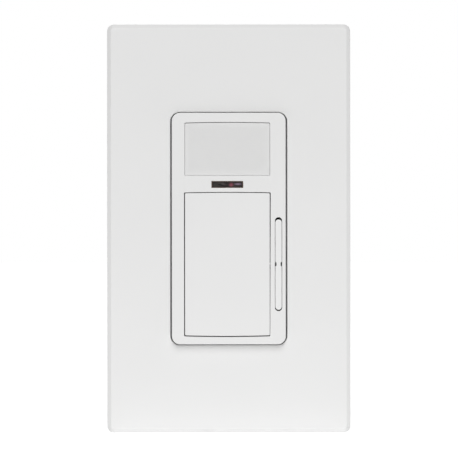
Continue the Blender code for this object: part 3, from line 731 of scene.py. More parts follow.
# %% Cover
CHAMFER, CHAMFER_DEPTH, CHAMFER_SOFT = 1.1, 0.85, 0.12
PLATE_CORNER, BACK_RIM_EDGE, OPENING_FILLET = 1.9, 0.15, 0.3
OPENING_WIDTH, OPENING_HEIGHT, OPENING_CORNER = 33.5, 66.85, 2.65
RIM_WALL, COVER_SKIN, COLLAR_WALL = 2.56, 1.5, 1.3
HOOK_PLACES, RIB_PLACES = (-30.0, 30.0), (-46.0, -15.0, 15.0, 46.0)
plate_width = COVER_HIGH.x - COVER_LOW.x
plate_height = COVER_HIGH.z - COVER_LOW.z
collar_back = limits("wallplate_subplate")[0].y - 0.3
inner_face = PLATE_FRONT + COVER_SKIN


def cover_piece():
    shape = bmesh.new()
    side_top, soft = PLATE_FRONT + CHAMFER_DEPTH, CHAMFER_SOFT
    outer = [
        (BACK_RIM_EDGE, 0.0),
        (0.0, -BACK_RIM_EDGE),
        (0.0, side_top + soft),
        (soft * 0.3, side_top - soft * 0.3),
        (soft, side_top - soft),
        (CHAMFER - soft, PLATE_FRONT + soft),
        (CHAMFER - soft * 0.2, PLATE_FRONT + soft * 0.25),
        (CHAMFER + soft, PLATE_FRONT),
    ]
    outside = rings(shape, outer, plate_width, plate_height, PLATE_CORNER)
    opening = (OPENING_WIDTH, OPENING_HEIGHT, OPENING_CORNER)
    hole = rings(shape, round_out(OPENING_FILLET, PLATE_FRONT) + [(0.0, collar_back)], *opening)
    collar = rings(shape, [(-COLLAR_WALL, collar_back), (-COLLAR_WALL, inner_face)], *opening)
    hollow_size = plate_width - 2 * RIM_WALL, plate_height - 2 * RIM_WALL, 1.0
    hollow = rings(shape, [(0.0, inner_face), (0.0, 0.0)], *hollow_size)
    fill(shape, outside[-1], hole[0])
    bridge(shape, hole[-1], collar[0])
    fill(shape, hollow[0], collar[-1])
    bridge(shape, hollow[-1], outside[0])
    return piece("wallplate_shell", shape, PLATE_PLASTIC)


cover = cover_piece()
shape = bmesh.new()
wall_x = plate_width / 2 - RIM_WALL
for side in (-1, 1):
    for z in HOOK_PLACES:
        near, far = sorted((side * (wall_x + 0.3), side * (wall_x - 0.95)))
        block(shape, (near, -1.5, z - 4), (far, -0.6, z + 4), 0.2)
    for z in RIB_PLACES:
        near, far = sorted((side * (wall_x + 0.3), side * (wall_x - 1.3)))
        block(shape, (near, inner_face - 0.2, z - 0.5), (far, collar_back, z + 0.5), 0.15)
combine(cover, "UNION", piece("hooks", shape, PLATE_PLASTIC))
show(shaded(cover), "dimmer", "white_plastic", "wallplate_cover")

# %% [markdown]
# ## Device frame
# The frame is a flat, filleted bezel that stands proud of the cover. Its face holds four
# openings: the sensor's lens, the indicator window, the paddle and the long slot of the
# dimming bar. The lens's and paddle's ends are very slightly arched. Each opening leaves its
# own seam round its piece: hairlines at the lens, the widest one under the paddle, and one
# at the paddle's right that closes towards its foot.

# %% Frame
FACE_SKIN, SIDE_WALL, END_WALL = 1.6, 0.8, 1.2
FRAME_CORNER, FRAME_FILLET, FRAME_REACH = 2.3, 0.24, 0.1
HOLE_CORNER, HOLE_EDGE = 0.3, 0.06
LENS_WIDTH, LENS_FOOT, LENS_TOP = 24.3, 15.2, 30.3
LENS_ARCH, PADDLE_ARCH = (0.17, 0.0), (0.13, 0.17)
SEAM_LENS = {"side": 0.07, "top": 0.17, "bottom": 0.04}
SEAM_PADDLE = {"side": 0.25, "top": 0.22, "bottom": 0.43}
SEAM_TAPER = 0.16
WINDOW_HOLE, WINDOW_CORNER = (9.1, 1.98), 0.12
BAR_X, BAR_SLOT_WIDTH, BAR_END_SEAM = 14.24, 2.06, 0.36
face_x = (PADDLE_LOW.x + PADDLE_HIGH.x) / 2
bar_z = (BAR_LOW.z + BAR_HIGH.z) / 2
window_z = (WINDOW_LOW.z + WINDOW_HIGH.z) / 2 - WINDOW_DROP


def hole_around(width, low, high, seam, arch):
    """The hole that leaves a seam round a piece of this width between these heights."""
    bottom, top = low - seam["bottom"], high + seam["top"]
    middle = (face_x, (top + bottom) / 2)
    return width + 2 * seam["side"], top - bottom, HOLE_CORNER, middle, arch


def lean(loops, right):
    """Draws the right side of a hole in, by nothing at its top and SEAM_TAPER at its foot."""
    for vert in (vert for loop in loops for vert in loop if vert.co.x > right - 1):
        down = (PADDLE_HIGH.z - vert.co.z) / (PADDLE_HIGH.z - PADDLE_LOW.z)
        vert.co.x -= SEAM_TAPER * min(max(down, 0.0), 1.0)


def frame_piece():
    shape = bmesh.new()
    width, height = FRAME_HIGH.x - FRAME_LOW.x, FRAME_HIGH.z - FRAME_LOW.z + 2 * FRAME_REACH
    inner, back = FACE + FACE_SKIN, FRAME_HIGH.y
    profile = [(0.1, back), (0.0, back - 0.1)] + round_in(FRAME_FILLET, FACE)
    outside = rings(shape, profile, width, height, FRAME_CORNER)
    hollow_size = width - 2 * SIDE_WALL, height - 2 * END_WALL, 1.5
    hollow = rings(shape, [(0.0, inner), (0.0, back)], *hollow_size)
    paddle_width = PADDLE_HIGH.x - PADDLE_LOW.x
    bar_slot = BAR_HIGH.z - BAR_LOW.z + 2 * BAR_END_SEAM
    holes = (
        hole_around(LENS_WIDTH, LENS_FOOT, LENS_TOP, SEAM_LENS, LENS_ARCH),
        (*WINDOW_HOLE, WINDOW_CORNER, (face_x, window_z)),
        hole_around(paddle_width, PADDLE_LOW.z, PADDLE_HIGH.z, SEAM_PADDLE, PADDLE_ARCH),
        (BAR_SLOT_WIDTH, bar_slot, BAR_SLOT_WIDTH / 2, (BAR_X, bar_z)),
    )
    profile = round_out(HOLE_EDGE, FACE, 3) + [(0.0, inner)]
    cuts = [rings(shape, profile, *hole) for hole in holes]
    lean(cuts[2], face_x + paddle_width / 2 + SEAM_PADDLE["side"])
    fill(shape, outside[-1], *[cut[0] for cut in cuts])
    fill(shape, hollow[0], *[cut[-1] for cut in cuts])
    bridge(shape, hollow[-1], outside[0])
    return piece("device_frame", shape, FACE_PLASTIC)


show(shaded(frame_piece()), "dimmer", "white_plastic", "face_frame")

# %% [markdown]
# ## Geometry Nodes for what repeats
# The lens's domes, the solder joints, the small chips and the housing's vents are all one
# shape on a grid, so one tree serves them all: a grid of points, one unit instanced on each,
# then made real. Its inputs are named, and a piece sets them through the modifier before the
# tree is first evaluated.


# %% Geometry Nodes for rows
class Grower(Graph):
    """A Geometry Nodes tree with named inputs for its sizes."""

    KINDS = {"FLOAT": "NodeSocketFloat", "INT": "NodeSocketInt", "VECTOR": "NodeSocketVector"}

    def __init__(self, name, **inputs):
        super().__init__(bpy.data.node_groups.new(name, "GeometryNodeTree"))
        add = self.tree.interface.new_socket
        add("Geometry", in_out="OUTPUT", socket_type="NodeSocketGeometry")
        for label, kind in inputs.items():
            add(label, in_out="INPUT", socket_type=self.KINDS[kind])
        self.source = self.tree.nodes.new("NodeGroupInput")

    def given(self, label):
        return Wire(self, self.source.outputs[label])

    def end(self, geometry, material):
        """Instances made real, then the finish, then the way out."""
        real = self.node("GeometryNodeRealizeInstances", None, {0: geometry})
        sockets = {"Geometry": real, "Material": material}
        self.node("NodeGroupOutput", None, {0: self.node("GeometryNodeSetMaterial", None, sockets)})
        return self

    def grow(self, name, **values):
        """A plain mesh object of the tree with these sizes, all in metres."""
        obj = link(name, bpy.data.meshes.new(name))
        step = obj.modifiers.new(name, "NODES")
        step.node_group = self.tree
        sockets = {item.name: item.identifier for item in self.tree.interface.items_tree}
        for label, value in values.items():
            step[sockets[label]] = value
        return bake(obj)


def welded(name, *objects):
    """One plain mesh of several objects, each part keeping its own finish."""
    shape, finishes = bmesh.new(), []
    for obj in objects:
        start = len(shape.faces)
        shape.from_mesh(obj.data)
        shape.faces.ensure_lookup_table()
        finish = next(material for material in obj.data.materials if material)
        finishes += [] if finish in finishes else [finish]
        for face in shape.faces[start:]:
            face.material_index = finishes.index(finish)
        bpy.data.objects.remove(obj)
    mesh = bpy.data.meshes.new(name)
    shape.to_mesh(mesh)
    shape.free()
    for finish in finishes:
        mesh.materials.append(finish)
    return link(name, mesh)


def rows_tree(name, material, unit):
    """Copies of a unit on a grid in X and Z. unit(graph) gives the geometry of one."""
    graph = Grower(name, Columns="INT", Rows="INT", Pitch="VECTOR", Middle="VECTOR", Size="VECTOR")
    pitch = graph.given("Pitch")
    columns, rows = graph.given("Columns"), graph.given("Rows")
    sizes = {
        "Size X": graph.along("X", pitch) * (columns - 1),
        "Size Y": graph.along("Z", pitch) * (rows - 1),
        "Vertices X": columns,
        "Vertices Y": rows,
    }
    grid = graph.node("GeometryNodeMeshGrid", None, sizes)
    upright = {"Rotation": (math.radians(90), 0.0, 0.0), "Translation": graph.given("Middle")}
    grid = graph.node("GeometryNodeTransform", None, {"Geometry": grid, **upright})
    copies = {"Points": grid, "Instance": unit(graph), "Scale": graph.given("Size")}
    return graph.end(graph.node("GeometryNodeInstanceOnPoints", None, copies), material)


def cube_unit(graph):
    return graph.node("GeometryNodeMeshCube", None, {"Size": (1.0, 1.0, 1.0)})


def dome_unit(graph):
    return graph.node("GeometryNodeMeshIcoSphere", None, {"Radius": 0.5, "Subdivisions": 2})


print("row trees ready")

# %% [markdown]
# ## Sensor lens
# The lens is a shallow cap with a flange behind the frame. On its back, rows of small domes
# focus warmth from many directions onto the sensor. The cap is made of rings, the domes come
# from the row tree, and both are welded into one piece.

# %% Lens
LENS_SKIN, LENS_WALL, LENS_FLANGE, LENS_EDGE = 0.9, 1.0, 0.8, 0.12
lens_z = (LENS_FOOT + LENS_TOP) / 2


def lens_piece():
    shape = bmesh.new()
    size = LENS_WIDTH, LENS_TOP - LENS_FOOT
    where = dict(centre=(face_x, lens_z), arch=LENS_ARCH)
    back, step = LENS_HIGH.y, LENS_HIGH.y - LENS_FLANGE
    rim = (LENS_HIGH.x - LENS_LOW.x - LENS_WIDTH) / 2
    profile = [(-rim, back), (-rim, step), (0.0, step)] + round_in(LENS_EDGE, FACE, 3)
    outside = rings(shape, profile, *size, 0.25, **where)
    hollow = [(LENS_WALL, FACE + LENS_SKIN), (LENS_WALL, back)]
    inside = rings(shape, hollow, *size, 1.3, **where)
    fill(shape, outside[-1])
    fill(shape, inside[0])
    bridge(shape, inside[-1], outside[0])
    return piece("lens_cap", shape, MILKY)


domes = rows_tree("lens_domes", MILKY, dome_unit).grow(
    "lens_domes",
    Columns=9,
    Rows=5,
    Pitch=Vector((2.35, 0.0, 2.5)) * MM,
    Middle=Vector((face_x, FACE + LENS_SKIN, lens_z)) * MM,
    Size=Vector((2.6, 0.5, 2.7)) * MM,
)
cap = welded("milky_sensor_lens", lens_piece(), domes)
show(shaded(cap), "dimmer", "lens_plastic", "sensor_lens")

# %% [markdown]
# ## Indicator window
# A small smoked lid fills its opening almost flush, with a flange behind the face. Its front
# edges are barely broken, as on a polished insert.


# %% Window
LID_SIZE, LID_SUNK, LID_EDGE, LID_FLANGE = (8.96, 1.86), 0.22, 0.06, 0.7


def window_piece():
    shape = bmesh.new()
    profile = [(0.0, WINDOW_HIGH.y - 0.5)] + round_in(LID_EDGE, FACE + LID_SUNK, 2)
    body = rings(shape, profile, *LID_SIZE, WINDOW_CORNER, (face_x, window_z))
    fill(shape, body[-1])
    fill(shape, body[0])
    low = (WINDOW_LOW.x, WINDOW_HIGH.y - LID_FLANGE, WINDOW_LOW.z)
    block(shape, low, WINDOW_HIGH, 0.08)
    return piece("smoked_lid", shape, SMOKED)


show(shaded(window_piece()), "dimmer", "smoked_window", "indicator_window")

# %% [markdown]
# ## Paddle
# The big on/off paddle is a cap hinged along its top. It is crowned a quarter of a
# millimetre across its width, which the eye reads only as a softer tone at the sides. Its
# face is cut into narrow strips first, so that the bend has vertices to move.

# %% Paddle
PADDLE_SKIN, PADDLE_SKIRT, PADDLE_EDGE, PADDLE_REACH = 1.5, -5.7, 0.1, 0.14
PADDLE_CORNER, PADDLE_CROWN, STRIP = 0.3, 300.0, 1.5
EAR_SPREAD, POST_ROOT, POST_TIP, BORE_RADIUS = 8.2, 2.2, 1.9, 0.8


def axis_of(name):
    """The place of a joint in millimetres."""
    return Vector(next(joint for joint in frame["joints"] if joint["name"] == name)["pos_m"]) / MM


def paddle_piece():
    shape = bmesh.new()
    foot = PADDLE_LOW.z - PADDLE_REACH
    width, height = PADDLE_HIGH.x - PADDLE_LOW.x, PADDLE_HIGH.z - foot
    where = dict(centre=(face_x, (foot + PADDLE_HIGH.z) / 2), arch=PADDLE_ARCH)
    profile = [(0.1, PADDLE_SKIRT), (0.0, PADDLE_SKIRT - 0.1)] + round_in(PADDLE_EDGE, FACE)
    outside = rings(shape, profile, width, height, PADDLE_CORNER, **where)
    hollow = [(1.5, FACE + PADDLE_SKIN), (1.4, PADDLE_SKIRT)]
    inside = rings(shape, hollow, width, height, 1.7, **where)
    fill(shape, outside[-1])
    fill(shape, inside[0])
    bridge(shape, inside[-1], outside[0])
    for index in range(1, int(width / STRIP)):
        x = face_x - width / 2 + index * STRIP
        parts = shape.verts[:] + shape.edges[:] + shape.faces[:]
        bmesh.ops.bisect_plane(shape, geom=parts, plane_co=(x, 0, 0), plane_no=(1, 0, 0))
    bmesh.ops.triangulate(shape, faces=shape.faces)
    for vert in shape.verts:
        if vert.co.y < FACE + PADDLE_EDGE + 0.01:
            vert.co.y += (vert.co.x - face_x) ** 2 / (2 * PADDLE_CROWN)
    return piece("on_off_paddle", shape, PADDLE_PLASTIC)


paddle = paddle_piece()
print("paddle cap:", len(paddle.data.polygons), "faces")

# %% [markdown]
# Behind the paddle's face two ears hold the hinge pin, a post reaches the switch, and thin
# ribs stiffen the cap. They are joined in two rounds, because lumps that overlap inside one
# mesh confuse a Boolean about what is inside.

# %% Paddle ears, post and ribs
hinge = axis_of("paddle_hinge")
root = FACE + PADDLE_SKIN - 0.3
switch_low, switch_high = limits("paddle_switch_plunger")
switch_z = (switch_low.z + switch_high.z) / 2
rib_back = PADDLE_SKIRT - 0.2
shape = bmesh.new()
for side in (-1, 1):
    x = face_x + side * EAR_SPREAD
    block(shape, (x - 1, root, hinge.z - 1.5), (x + 1, hinge.y + 1.1, hinge.z + 0.9), 0.15)
    block(shape, (x - 0.4, root, PADDLE_LOW.z + 2), (x + 0.4, rib_back, hinge.z - 3), 0.1)
post_end = (face_x, switch_low.y - 0.3, switch_z)
post(shape, (face_x, root, switch_z), post_end, POST_ROOT, POST_TIP, 32)
combine(paddle, "UNION", piece("ears_and_post", shape, PADDLE_PLASTIC))
shape = bmesh.new()
for z in (PADDLE_LOW.z + 6, switch_z + 6, -3.0):
    block(shape, (face_x - 10, root, z - 0.4), (face_x + 10, rib_back - 0.1, z + 0.4), 0.1)
combine(paddle, "UNION", piece("cross_ribs", shape, PADDLE_PLASTIC))
hinge_ends = (-12, hinge.y, hinge.z), (12, hinge.y, hinge.z)
combine(paddle, "DIFFERENCE", cutter(lambda shape: post(shape, *hinge_ends, BORE_RADIUS, None, 32)))
show(shaded(paddle), "paddle", "paddle_plastic", "paddle")

# %% [markdown]
# ## Dimming bar
# A slim rocker with full-round ends. Its long edges are well rounded, and a small notch on
# each side marks its middle. Its upper end is a little shorter than its slot, which leaves
# the dark crescent above it.

# %% Bar
BAR_EDGE, BAR_TOP_GAP = 0.22, 0.26
NOTCH_DEPTH, NOTCH_HALF, NOTCH_FLOOR = 0.34, 0.54, -5.7
BASE_X, BASE_HALF, BUTTON_REACH = 12.15, 12.6, 10.0
bar_pivot = axis_of("bar_pivot")
bar_width = 2 * (BAR_HIGH.x - BAR_X)


def bar_piece():
    shape = bmesh.new()
    top, bottom = BAR_HIGH.z - BAR_TOP_GAP, BAR_LOW.z
    profile = [(0.0, -5.2)] + round_in(BAR_EDGE, FACE, 5)
    size = bar_width, top - bottom, bar_width / 2, (BAR_X, (top + bottom) / 2)
    body = rings(shape, profile, *size)
    fill(shape, body[-1])
    fill(shape, body[0])
    return piece("dimming_bar", shape, BAR_PLASTIC)


bar = bar_piece()
print("bar:", len(bar.data.polygons), "faces")

# %% [markdown]
# Hidden behind the frame the bar widens to a base, with a hub on the pivot pin and two posts
# that press the small switches. The pin's bore and the two notches are cut last.

# %% Bar base, bore and notches
shape = bmesh.new()
block(shape, (BASE_X, -5.6, bar_z - BASE_HALF), (14.9, -4.75, bar_z + BASE_HALF), 0.12)
block(shape, (BASE_X, -5.2, bar_z - 1.2), (13.9, bar_pivot.y + 0.95, bar_z + 1.2), 0.12)
for z in (bar_z - BUTTON_REACH, bar_z + BUTTON_REACH):
    post(shape, (12.9, -5.2, z), (12.9, -4.3, z), 0.7, 0.55)
combine(bar, "UNION", piece("bar_base", shape, BAR_PLASTIC))


def bar_cuts(shape):
    post(shape, (11, bar_pivot.y, bar_z), (14.5, bar_pivot.y, bar_z), 0.6)
    for side in (-1, 1):
        middle = Vector((BAR_X + side * bar_width / 2, 0, bar_z))
        low = middle + Vector((-NOTCH_DEPTH, FACE - 1, -NOTCH_HALF))
        block(shape, low, middle + Vector((NOTCH_DEPTH, NOTCH_FLOOR, NOTCH_HALF)), 0.05)


combine(bar, "DIFFERENCE", cutter(bar_cuts))
show(shaded(bar), "dimmer_bar", "paddle_plastic", "dimmer_bar")

# %% [markdown]
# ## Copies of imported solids
# Many inner parts already have the right shape but razor-sharp edges. For these the packed
# mesh is copied, merged and cleaned, and a narrow bevel breaks its edges. That keeps every
# hole and boss where the mechanism needs it.


# %% Softened copies
SHARP_ANGLE = 35.0


def softened(node, finish, name, width, segments=2):
    """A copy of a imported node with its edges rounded."""
    mesh = frame["nodes"][node].data.copy()
    shape = bmesh.new()
    shape.from_mesh(mesh)
    bmesh.ops.remove_doubles(shape, verts=shape.verts, dist=1e-6)
    shape.to_mesh(mesh)
    shape.free()
    if "custom_normal" in mesh.attributes:
        mesh.attributes.remove(mesh.attributes["custom_normal"])
    mesh.materials.clear()
    mesh.materials.append(finish)
    obj = link(name, mesh)
    if width:
        rounding = obj.modifiers.new("broken_edges", "BEVEL")
        rounding.width = width * MM
        rounding.segments = segments
        rounding.limit_method = "ANGLE"
        rounding.angle_limit = math.radians(SHARP_ANGLE)
        rounding.use_clamp_overlap = True
        bake(obj)
    return obj


def stand_ins(body, rows):
    """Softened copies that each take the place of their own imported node."""
    for node, finish, name, slot, width in rows:
        show(shaded(softened(node, finish, name, width)), body, slot, node)


stand_ins(
    "dimmer",
    (
        ("wallplate_subplate", PLATE_PLASTIC, "inner_subplate", "white_plastic", 0.18),
        ("switch_carrier", CARRIER_GREY, "moulded_carrier", "carrier_plastic", 0.12),
        ("mounting_strap", ALUMINIUM, "stamped_strap", "aluminium", 0.16),
    ),
)

# %% [markdown]
# ## Back housing
# Behind the strap is a black box that goes into the wall. Real ones have slots in the back
# that let warm air out, and shallow recesses in their sides that leave stiffer bands between
# them. Rows of blocks for both are grown with the row tree and cut from the softened copy.

# %% Housing
HOUSING_LOW, HOUSING_HIGH = limits("back_housing")
housing = softened("back_housing", HOUSING_BLACK, "ribbed_back_housing", 0.35, 3)
cut_rows = rows_tree("housing_cuts", HOUSING_BLACK, cube_unit)
slots = cut_rows.grow(
    "vent_slots",
    Columns=1,
    Rows=7,
    Pitch=Vector((0.0, 0.0, 3.0)) * MM,
    Middle=Vector((0.0, HOUSING_HIGH.y, 0.0)) * MM,
    Size=Vector((16.0, 6.0, 1.1)) * MM,
)
grooves = cut_rows.grow(
    "side_grooves",
    Columns=2,
    Rows=2,
    Pitch=Vector((HOUSING_HIGH.x - HOUSING_LOW.x, 0.0, 48.0)) * MM,
    Middle=Vector((0.0, 16.0, 0.0)) * MM,
    Size=Vector((1.0, 24.0, 9.0)) * MM,
)
combine(housing, "DIFFERENCE", slots, grooves)
show(shaded(housing), "dimmer", "housing_plastic", "back_housing")

# %% [markdown]
# ## Screws
# A screw is a turned head and shank with a thread wound round it. The thread is a helix
# curve with a four-sided profile, half sunk in the shank, made by a Geometry Nodes tree with
# the wire, the pitch and the length as inputs. The same tree winds the transformer's wire.


# %% Helix tree
def helix_tree(name, material, sides):
    """A wire or a thread wound round the Z axis."""
    graph = Grower(name, Radius="FLOAT", Wire="FLOAT", Pitch="FLOAT", Length="FLOAT", Start="FLOAT")
    length = graph.given("Length")
    spiral = graph.node(
        "GeometryNodeCurveSpiral",
        None,
        {
            "Resolution": 20,
            "Rotations": length / graph.given("Pitch"),
            "Start Radius": graph.given("Radius"),
            "End Radius": graph.given("Radius"),
            "Height": length,
        },
    )
    lift = graph.node("ShaderNodeCombineXYZ", None, {2: graph.given("Start")})
    spiral = graph.node("GeometryNodeTransform", None, {"Geometry": spiral, "Translation": lift})
    round_wire = {"Resolution": sides, "Radius": graph.given("Wire")}
    ring = graph.node("GeometryNodeCurvePrimitiveCircle", None, round_wire)
    wound = {"Curve": spiral, "Profile Curve": ring, "Fill Caps": True}
    return graph.end(graph.node("GeometryNodeCurveToMesh", None, wound), material)


print("helix tree ready")

# %% [markdown]
# A turned part is a profile spun round an axis, as on a lathe. Each point of the profile
# makes a ring, and a point on the axis makes a single vertex that closes the end.


# %% Turning
def lathe(shape, profile, sides=32):
    """Closed solid of revolution round Z from (radius, height) points."""
    loops = []
    for radius, height in profile:
        turns = [2 * math.pi * index / sides for index in range(sides)]
        spots = [(radius * math.cos(turn), radius * math.sin(turn), height) for turn in turns]
        loops.append([shape.verts.new(spot) for spot in (spots if radius else spots[:1])])
    for first, second in zip(loops, loops[1:]):
        for index in range(sides):
            after = (index + 1) % sides
            corners = [first[index % len(first)], first[after % len(first)]]
            corners += [second[after % len(second)], second[index % len(second)]]
            shape.faces.new(list(dict.fromkeys(corners)))


def turned(name, profile, finish, sides=32):
    shape = bmesh.new()
    lathe(shape, profile, sides)
    return piece(name, shape, finish)


print("lathe ready")

# %% [markdown]
# All screws have pan heads, and one table holds what differs. A single arm is the slot of a
# flat driver, cut with a thin box, and two arms make a cross. Device and plate screws are
# 6-32, whose thread rises 0.79 mm a turn.

# %% Screws
# Each kind: finish, slot, head radius and height, shank radius, pitch, arms of its recess.
SCREWS = {
    "mounting": (ZINC, "zinc_steel", 3.9, 2.0, 1.65, 0.79, 1),
    "plate": (ZINC, "zinc_steel", 3.3, 1.0, 1.55, 0.79, 1),
    "case": (ZINC, "zinc_steel", 2.2, 1.6, 1.15, 0.9, 2),
    "wire": (BRASS, "brass", 3.6, 2.0, 1.65, 0.79, 1),
    "ground": (GREEN_DYE, "green_screw", 3.6, 2.2, 1.7, 0.79, 1),
}
PAN_HEAD = ((0, 0), (0.45, 0), (0.78, 0.12), (0.95, 0.42), (1, 0.75), (1, 0.95), (0.97, 1))
SLOT_HALF = 0.36
THREAD_SIDES = 4
THREADS = {
    finish: helix_tree(finish.name + "_thread", finish, THREAD_SIDES)
    for finish in (ZINC, BRASS, GREEN_DYE)
}


def screw(name, node, facing, kind):
    """A pan-head screw in the place of a packed one, its head towards facing."""
    low, high = limits(node)
    finish, slot, head, tall, shank, pitch, arms = SCREWS[kind]
    facing = Vector(facing)
    length = max(high - low)
    core, point = shank * 0.9, -length + shank * 0.5
    profile = [(head * out, -tall * down) for out, down in PAN_HEAD]
    profile += [(shank * 1.05, -tall), (core, -tall - 0.15), (core, point)]
    made = turned(name, profile + [(shank * 0.55, -length), (0.0, -length)], finish)

    def recess(shape):
        wide, deep = head * (1.3 if arms == 1 else 0.62), -tall * 0.55
        block(shape, (-wide, -SLOT_HALF, deep), (wide, SLOT_HALF, 1.0), 0.05)
        if arms == 2:
            block(shape, (-SLOT_HALF, -wide, deep), (SLOT_HALF, wide, 1.0), 0.05)

    combine(made, "DIFFERENCE", cutter(recess))
    thread = THREADS[finish].grow(
        name + "_thread",
        Radius=core * MM,
        Wire=shank * 0.16 * MM,
        Pitch=pitch * MM,
        Length=(-tall - 0.5 - point) * MM,
        Start=point * MM,
    )
    made = welded(name, made, thread)
    top = (low + high) / 2 + facing * length / 2
    turn = facing.to_track_quat("Z", "X").to_matrix().to_4x4()
    made.data.transform(Matrix.Translation(top * MM) @ turn)
    return show(shaded(made), "dimmer", slot, node)


for end in ("top", "bottom"):
    screw("mounting_" + end + "_6_32", "mounting_screw_" + end, (0, -1, 0), "mounting")
    screw("plate_" + end + "_screw", "subplate_screw_" + end, (0, -1, 0), "plate")
    for side, sign in (("left", -1), ("right", 1)):
        corner = side + "_" + end
        screw("case_screw_" + corner, "housing_screw_" + corner, (0, 1, 0), "case")
        screw("wire_screw_" + corner, "terminal_screw_" + corner, (sign, 0, 0), "wire")
screw("green_ground_screw", "ground_screw", (0, 1, 0), "ground")

# %% [markdown]
# ## Terminals and clips
# Wire clamps are stamped from brass and steel, so they only need broken edges.

# %% Stamped parts
for corner in ("left_top", "left_bottom", "right_top", "right_bottom"):
    row = ("terminal_plate_" + corner, BRASS, "clamp_" + corner, "brass", 0.12)
    stand_ins("dimmer", (row,))
stand_ins("dimmer", (("transistor_clip", ZINC, "spring_clip", "zinc_steel", 0.1),))

# %% [markdown]
# ## Springs and pins
# The paddle's return spring is a coil whose end turns lie flat. Its centre line is one
# formula, swept with a round wire. It shortens as the paddle goes in.

# %% Spring and pins
SPRING_RADIUS, SPRING_WIRE, SPRING_TURNS, SPRING_STEPS = 1.8, 0.2, 5.0, 32
SPRING_FLAT, SPRING_KEEP = 0.11, 0.72
SPRING_LOW, SPRING_HIGH = limits("paddle_return_spring")


def wire_along(name, points, radius, finish):
    """A round wire along a line of points in millimetres."""
    curve = bpy.data.curves.new(name, "CURVE")
    curve.dimensions = "3D"
    curve.bevel_depth = radius * MM
    curve.bevel_resolution = 4
    curve.use_fill_caps = True
    spline = curve.splines.new("POLY")
    spline.points.add(len(points) - 1)
    for spot, place in zip(spline.points, points):
        spot.co = (*(Vector(place) * MM), 1.0)
    drawn = link(name + "_line", curve)
    graph = bpy.context.evaluated_depsgraph_get()
    mesh = bpy.data.meshes.new_from_object(drawn.evaluated_get(graph))
    bpy.data.objects.remove(drawn)
    shape = bmesh.new()
    shape.from_mesh(mesh)
    return piece(name, shape, finish, 1.0)


def spring_line():
    """The coil's centre line, nearly flat for its first and last 15 hundredths."""
    centre = (SPRING_LOW + SPRING_HIGH) / 2
    back, front = SPRING_HIGH.y - SPRING_WIRE, SPRING_LOW.y + SPRING_WIRE
    count = int(SPRING_TURNS * SPRING_STEPS)
    line = []
    for index in range(count + 1):
        share = index / count
        eased = min(max((share - 0.15) / 0.7, 0.0), 1.0)
        turn = 2 * math.pi * index / SPRING_STEPS
        rise = SPRING_FLAT * share + (1 - SPRING_FLAT) * eased
        x = centre.x + SPRING_RADIUS * math.cos(turn)
        line.append((x, back + (front - back) * rise, centre.z + SPRING_RADIUS * math.sin(turn)))
    return line


spring = wire_along("coil_spring", spring_line(), SPRING_WIRE, ZINC)
show(shaded(spring), "dimmer", "zinc_steel", "paddle_return_spring")
deck_side = (SPRING_LOW + SPRING_HIGH) / 2 * MM
deck_side.y = SPRING_HIGH.y * MM
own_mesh(spring)


PIN_BEVEL = 0.12


def pin(name, node, radius):
    """A ground pin with bevelled ends, lying along X."""
    low, high = limits(node)
    length, tip = high.x - low.x, radius - PIN_BEVEL
    profile = [(0.0, 0.0), (tip, 0.0), (radius, -PIN_BEVEL), (radius, -length + PIN_BEVEL)]
    made = turned(name, profile + [(tip, -length), (0.0, -length)], ZINC, 24)
    place = Matrix.Translation(Vector((high.x, (low.y + high.y) / 2, (low.z + high.z) / 2)) * MM)
    made.data.transform(place @ Matrix.Rotation(math.radians(90), 4, "Y"))
    return show(shaded(made), "dimmer", "zinc_steel", node)


pin("ground_hinge_pin", "paddle_hinge_pin", 0.6)
pin("ground_pivot_pin", "bar_pivot_pin", 0.45)

# %% [markdown]
# ## Circuit boards
# Each board is a sheet of glass fibre with solder joints on its copper side. The joints are
# low domes in rows, grown by the row tree onto a softened copy of the board. Small chip
# parts stand in rows of their own on the control board.

# %% Boards
solder_rows = rows_tree("solder_rows", TIN, dome_unit)
chip_rows = rows_tree("chip_rows", CASE_BLACK, cube_unit)


def board(node, name, joints, chips=()):
    low, high = limits(node)
    parts = [softened(node, SOLDER_MASK, name, 0.08)]
    for tree, rows in ((solder_rows, joints), (chip_rows, chips)):
        for columns, count, pitch, middle, size in rows:
            parts.append(
                tree.grow(
                    name + "_row",
                    Columns=columns,
                    Rows=count,
                    Pitch=Vector((pitch[0], 0.0, pitch[1])) * MM,
                    Middle=Vector(middle) * MM,
                    Size=Vector(size) * MM,
                )
            )
    print(name, "is", round(high.y - low.y, 2), "mm thick,", len(parts) - 1, "groups of parts")
    return show(shaded(welded(name, *parts)), "dimmer", "circuit_board", node)


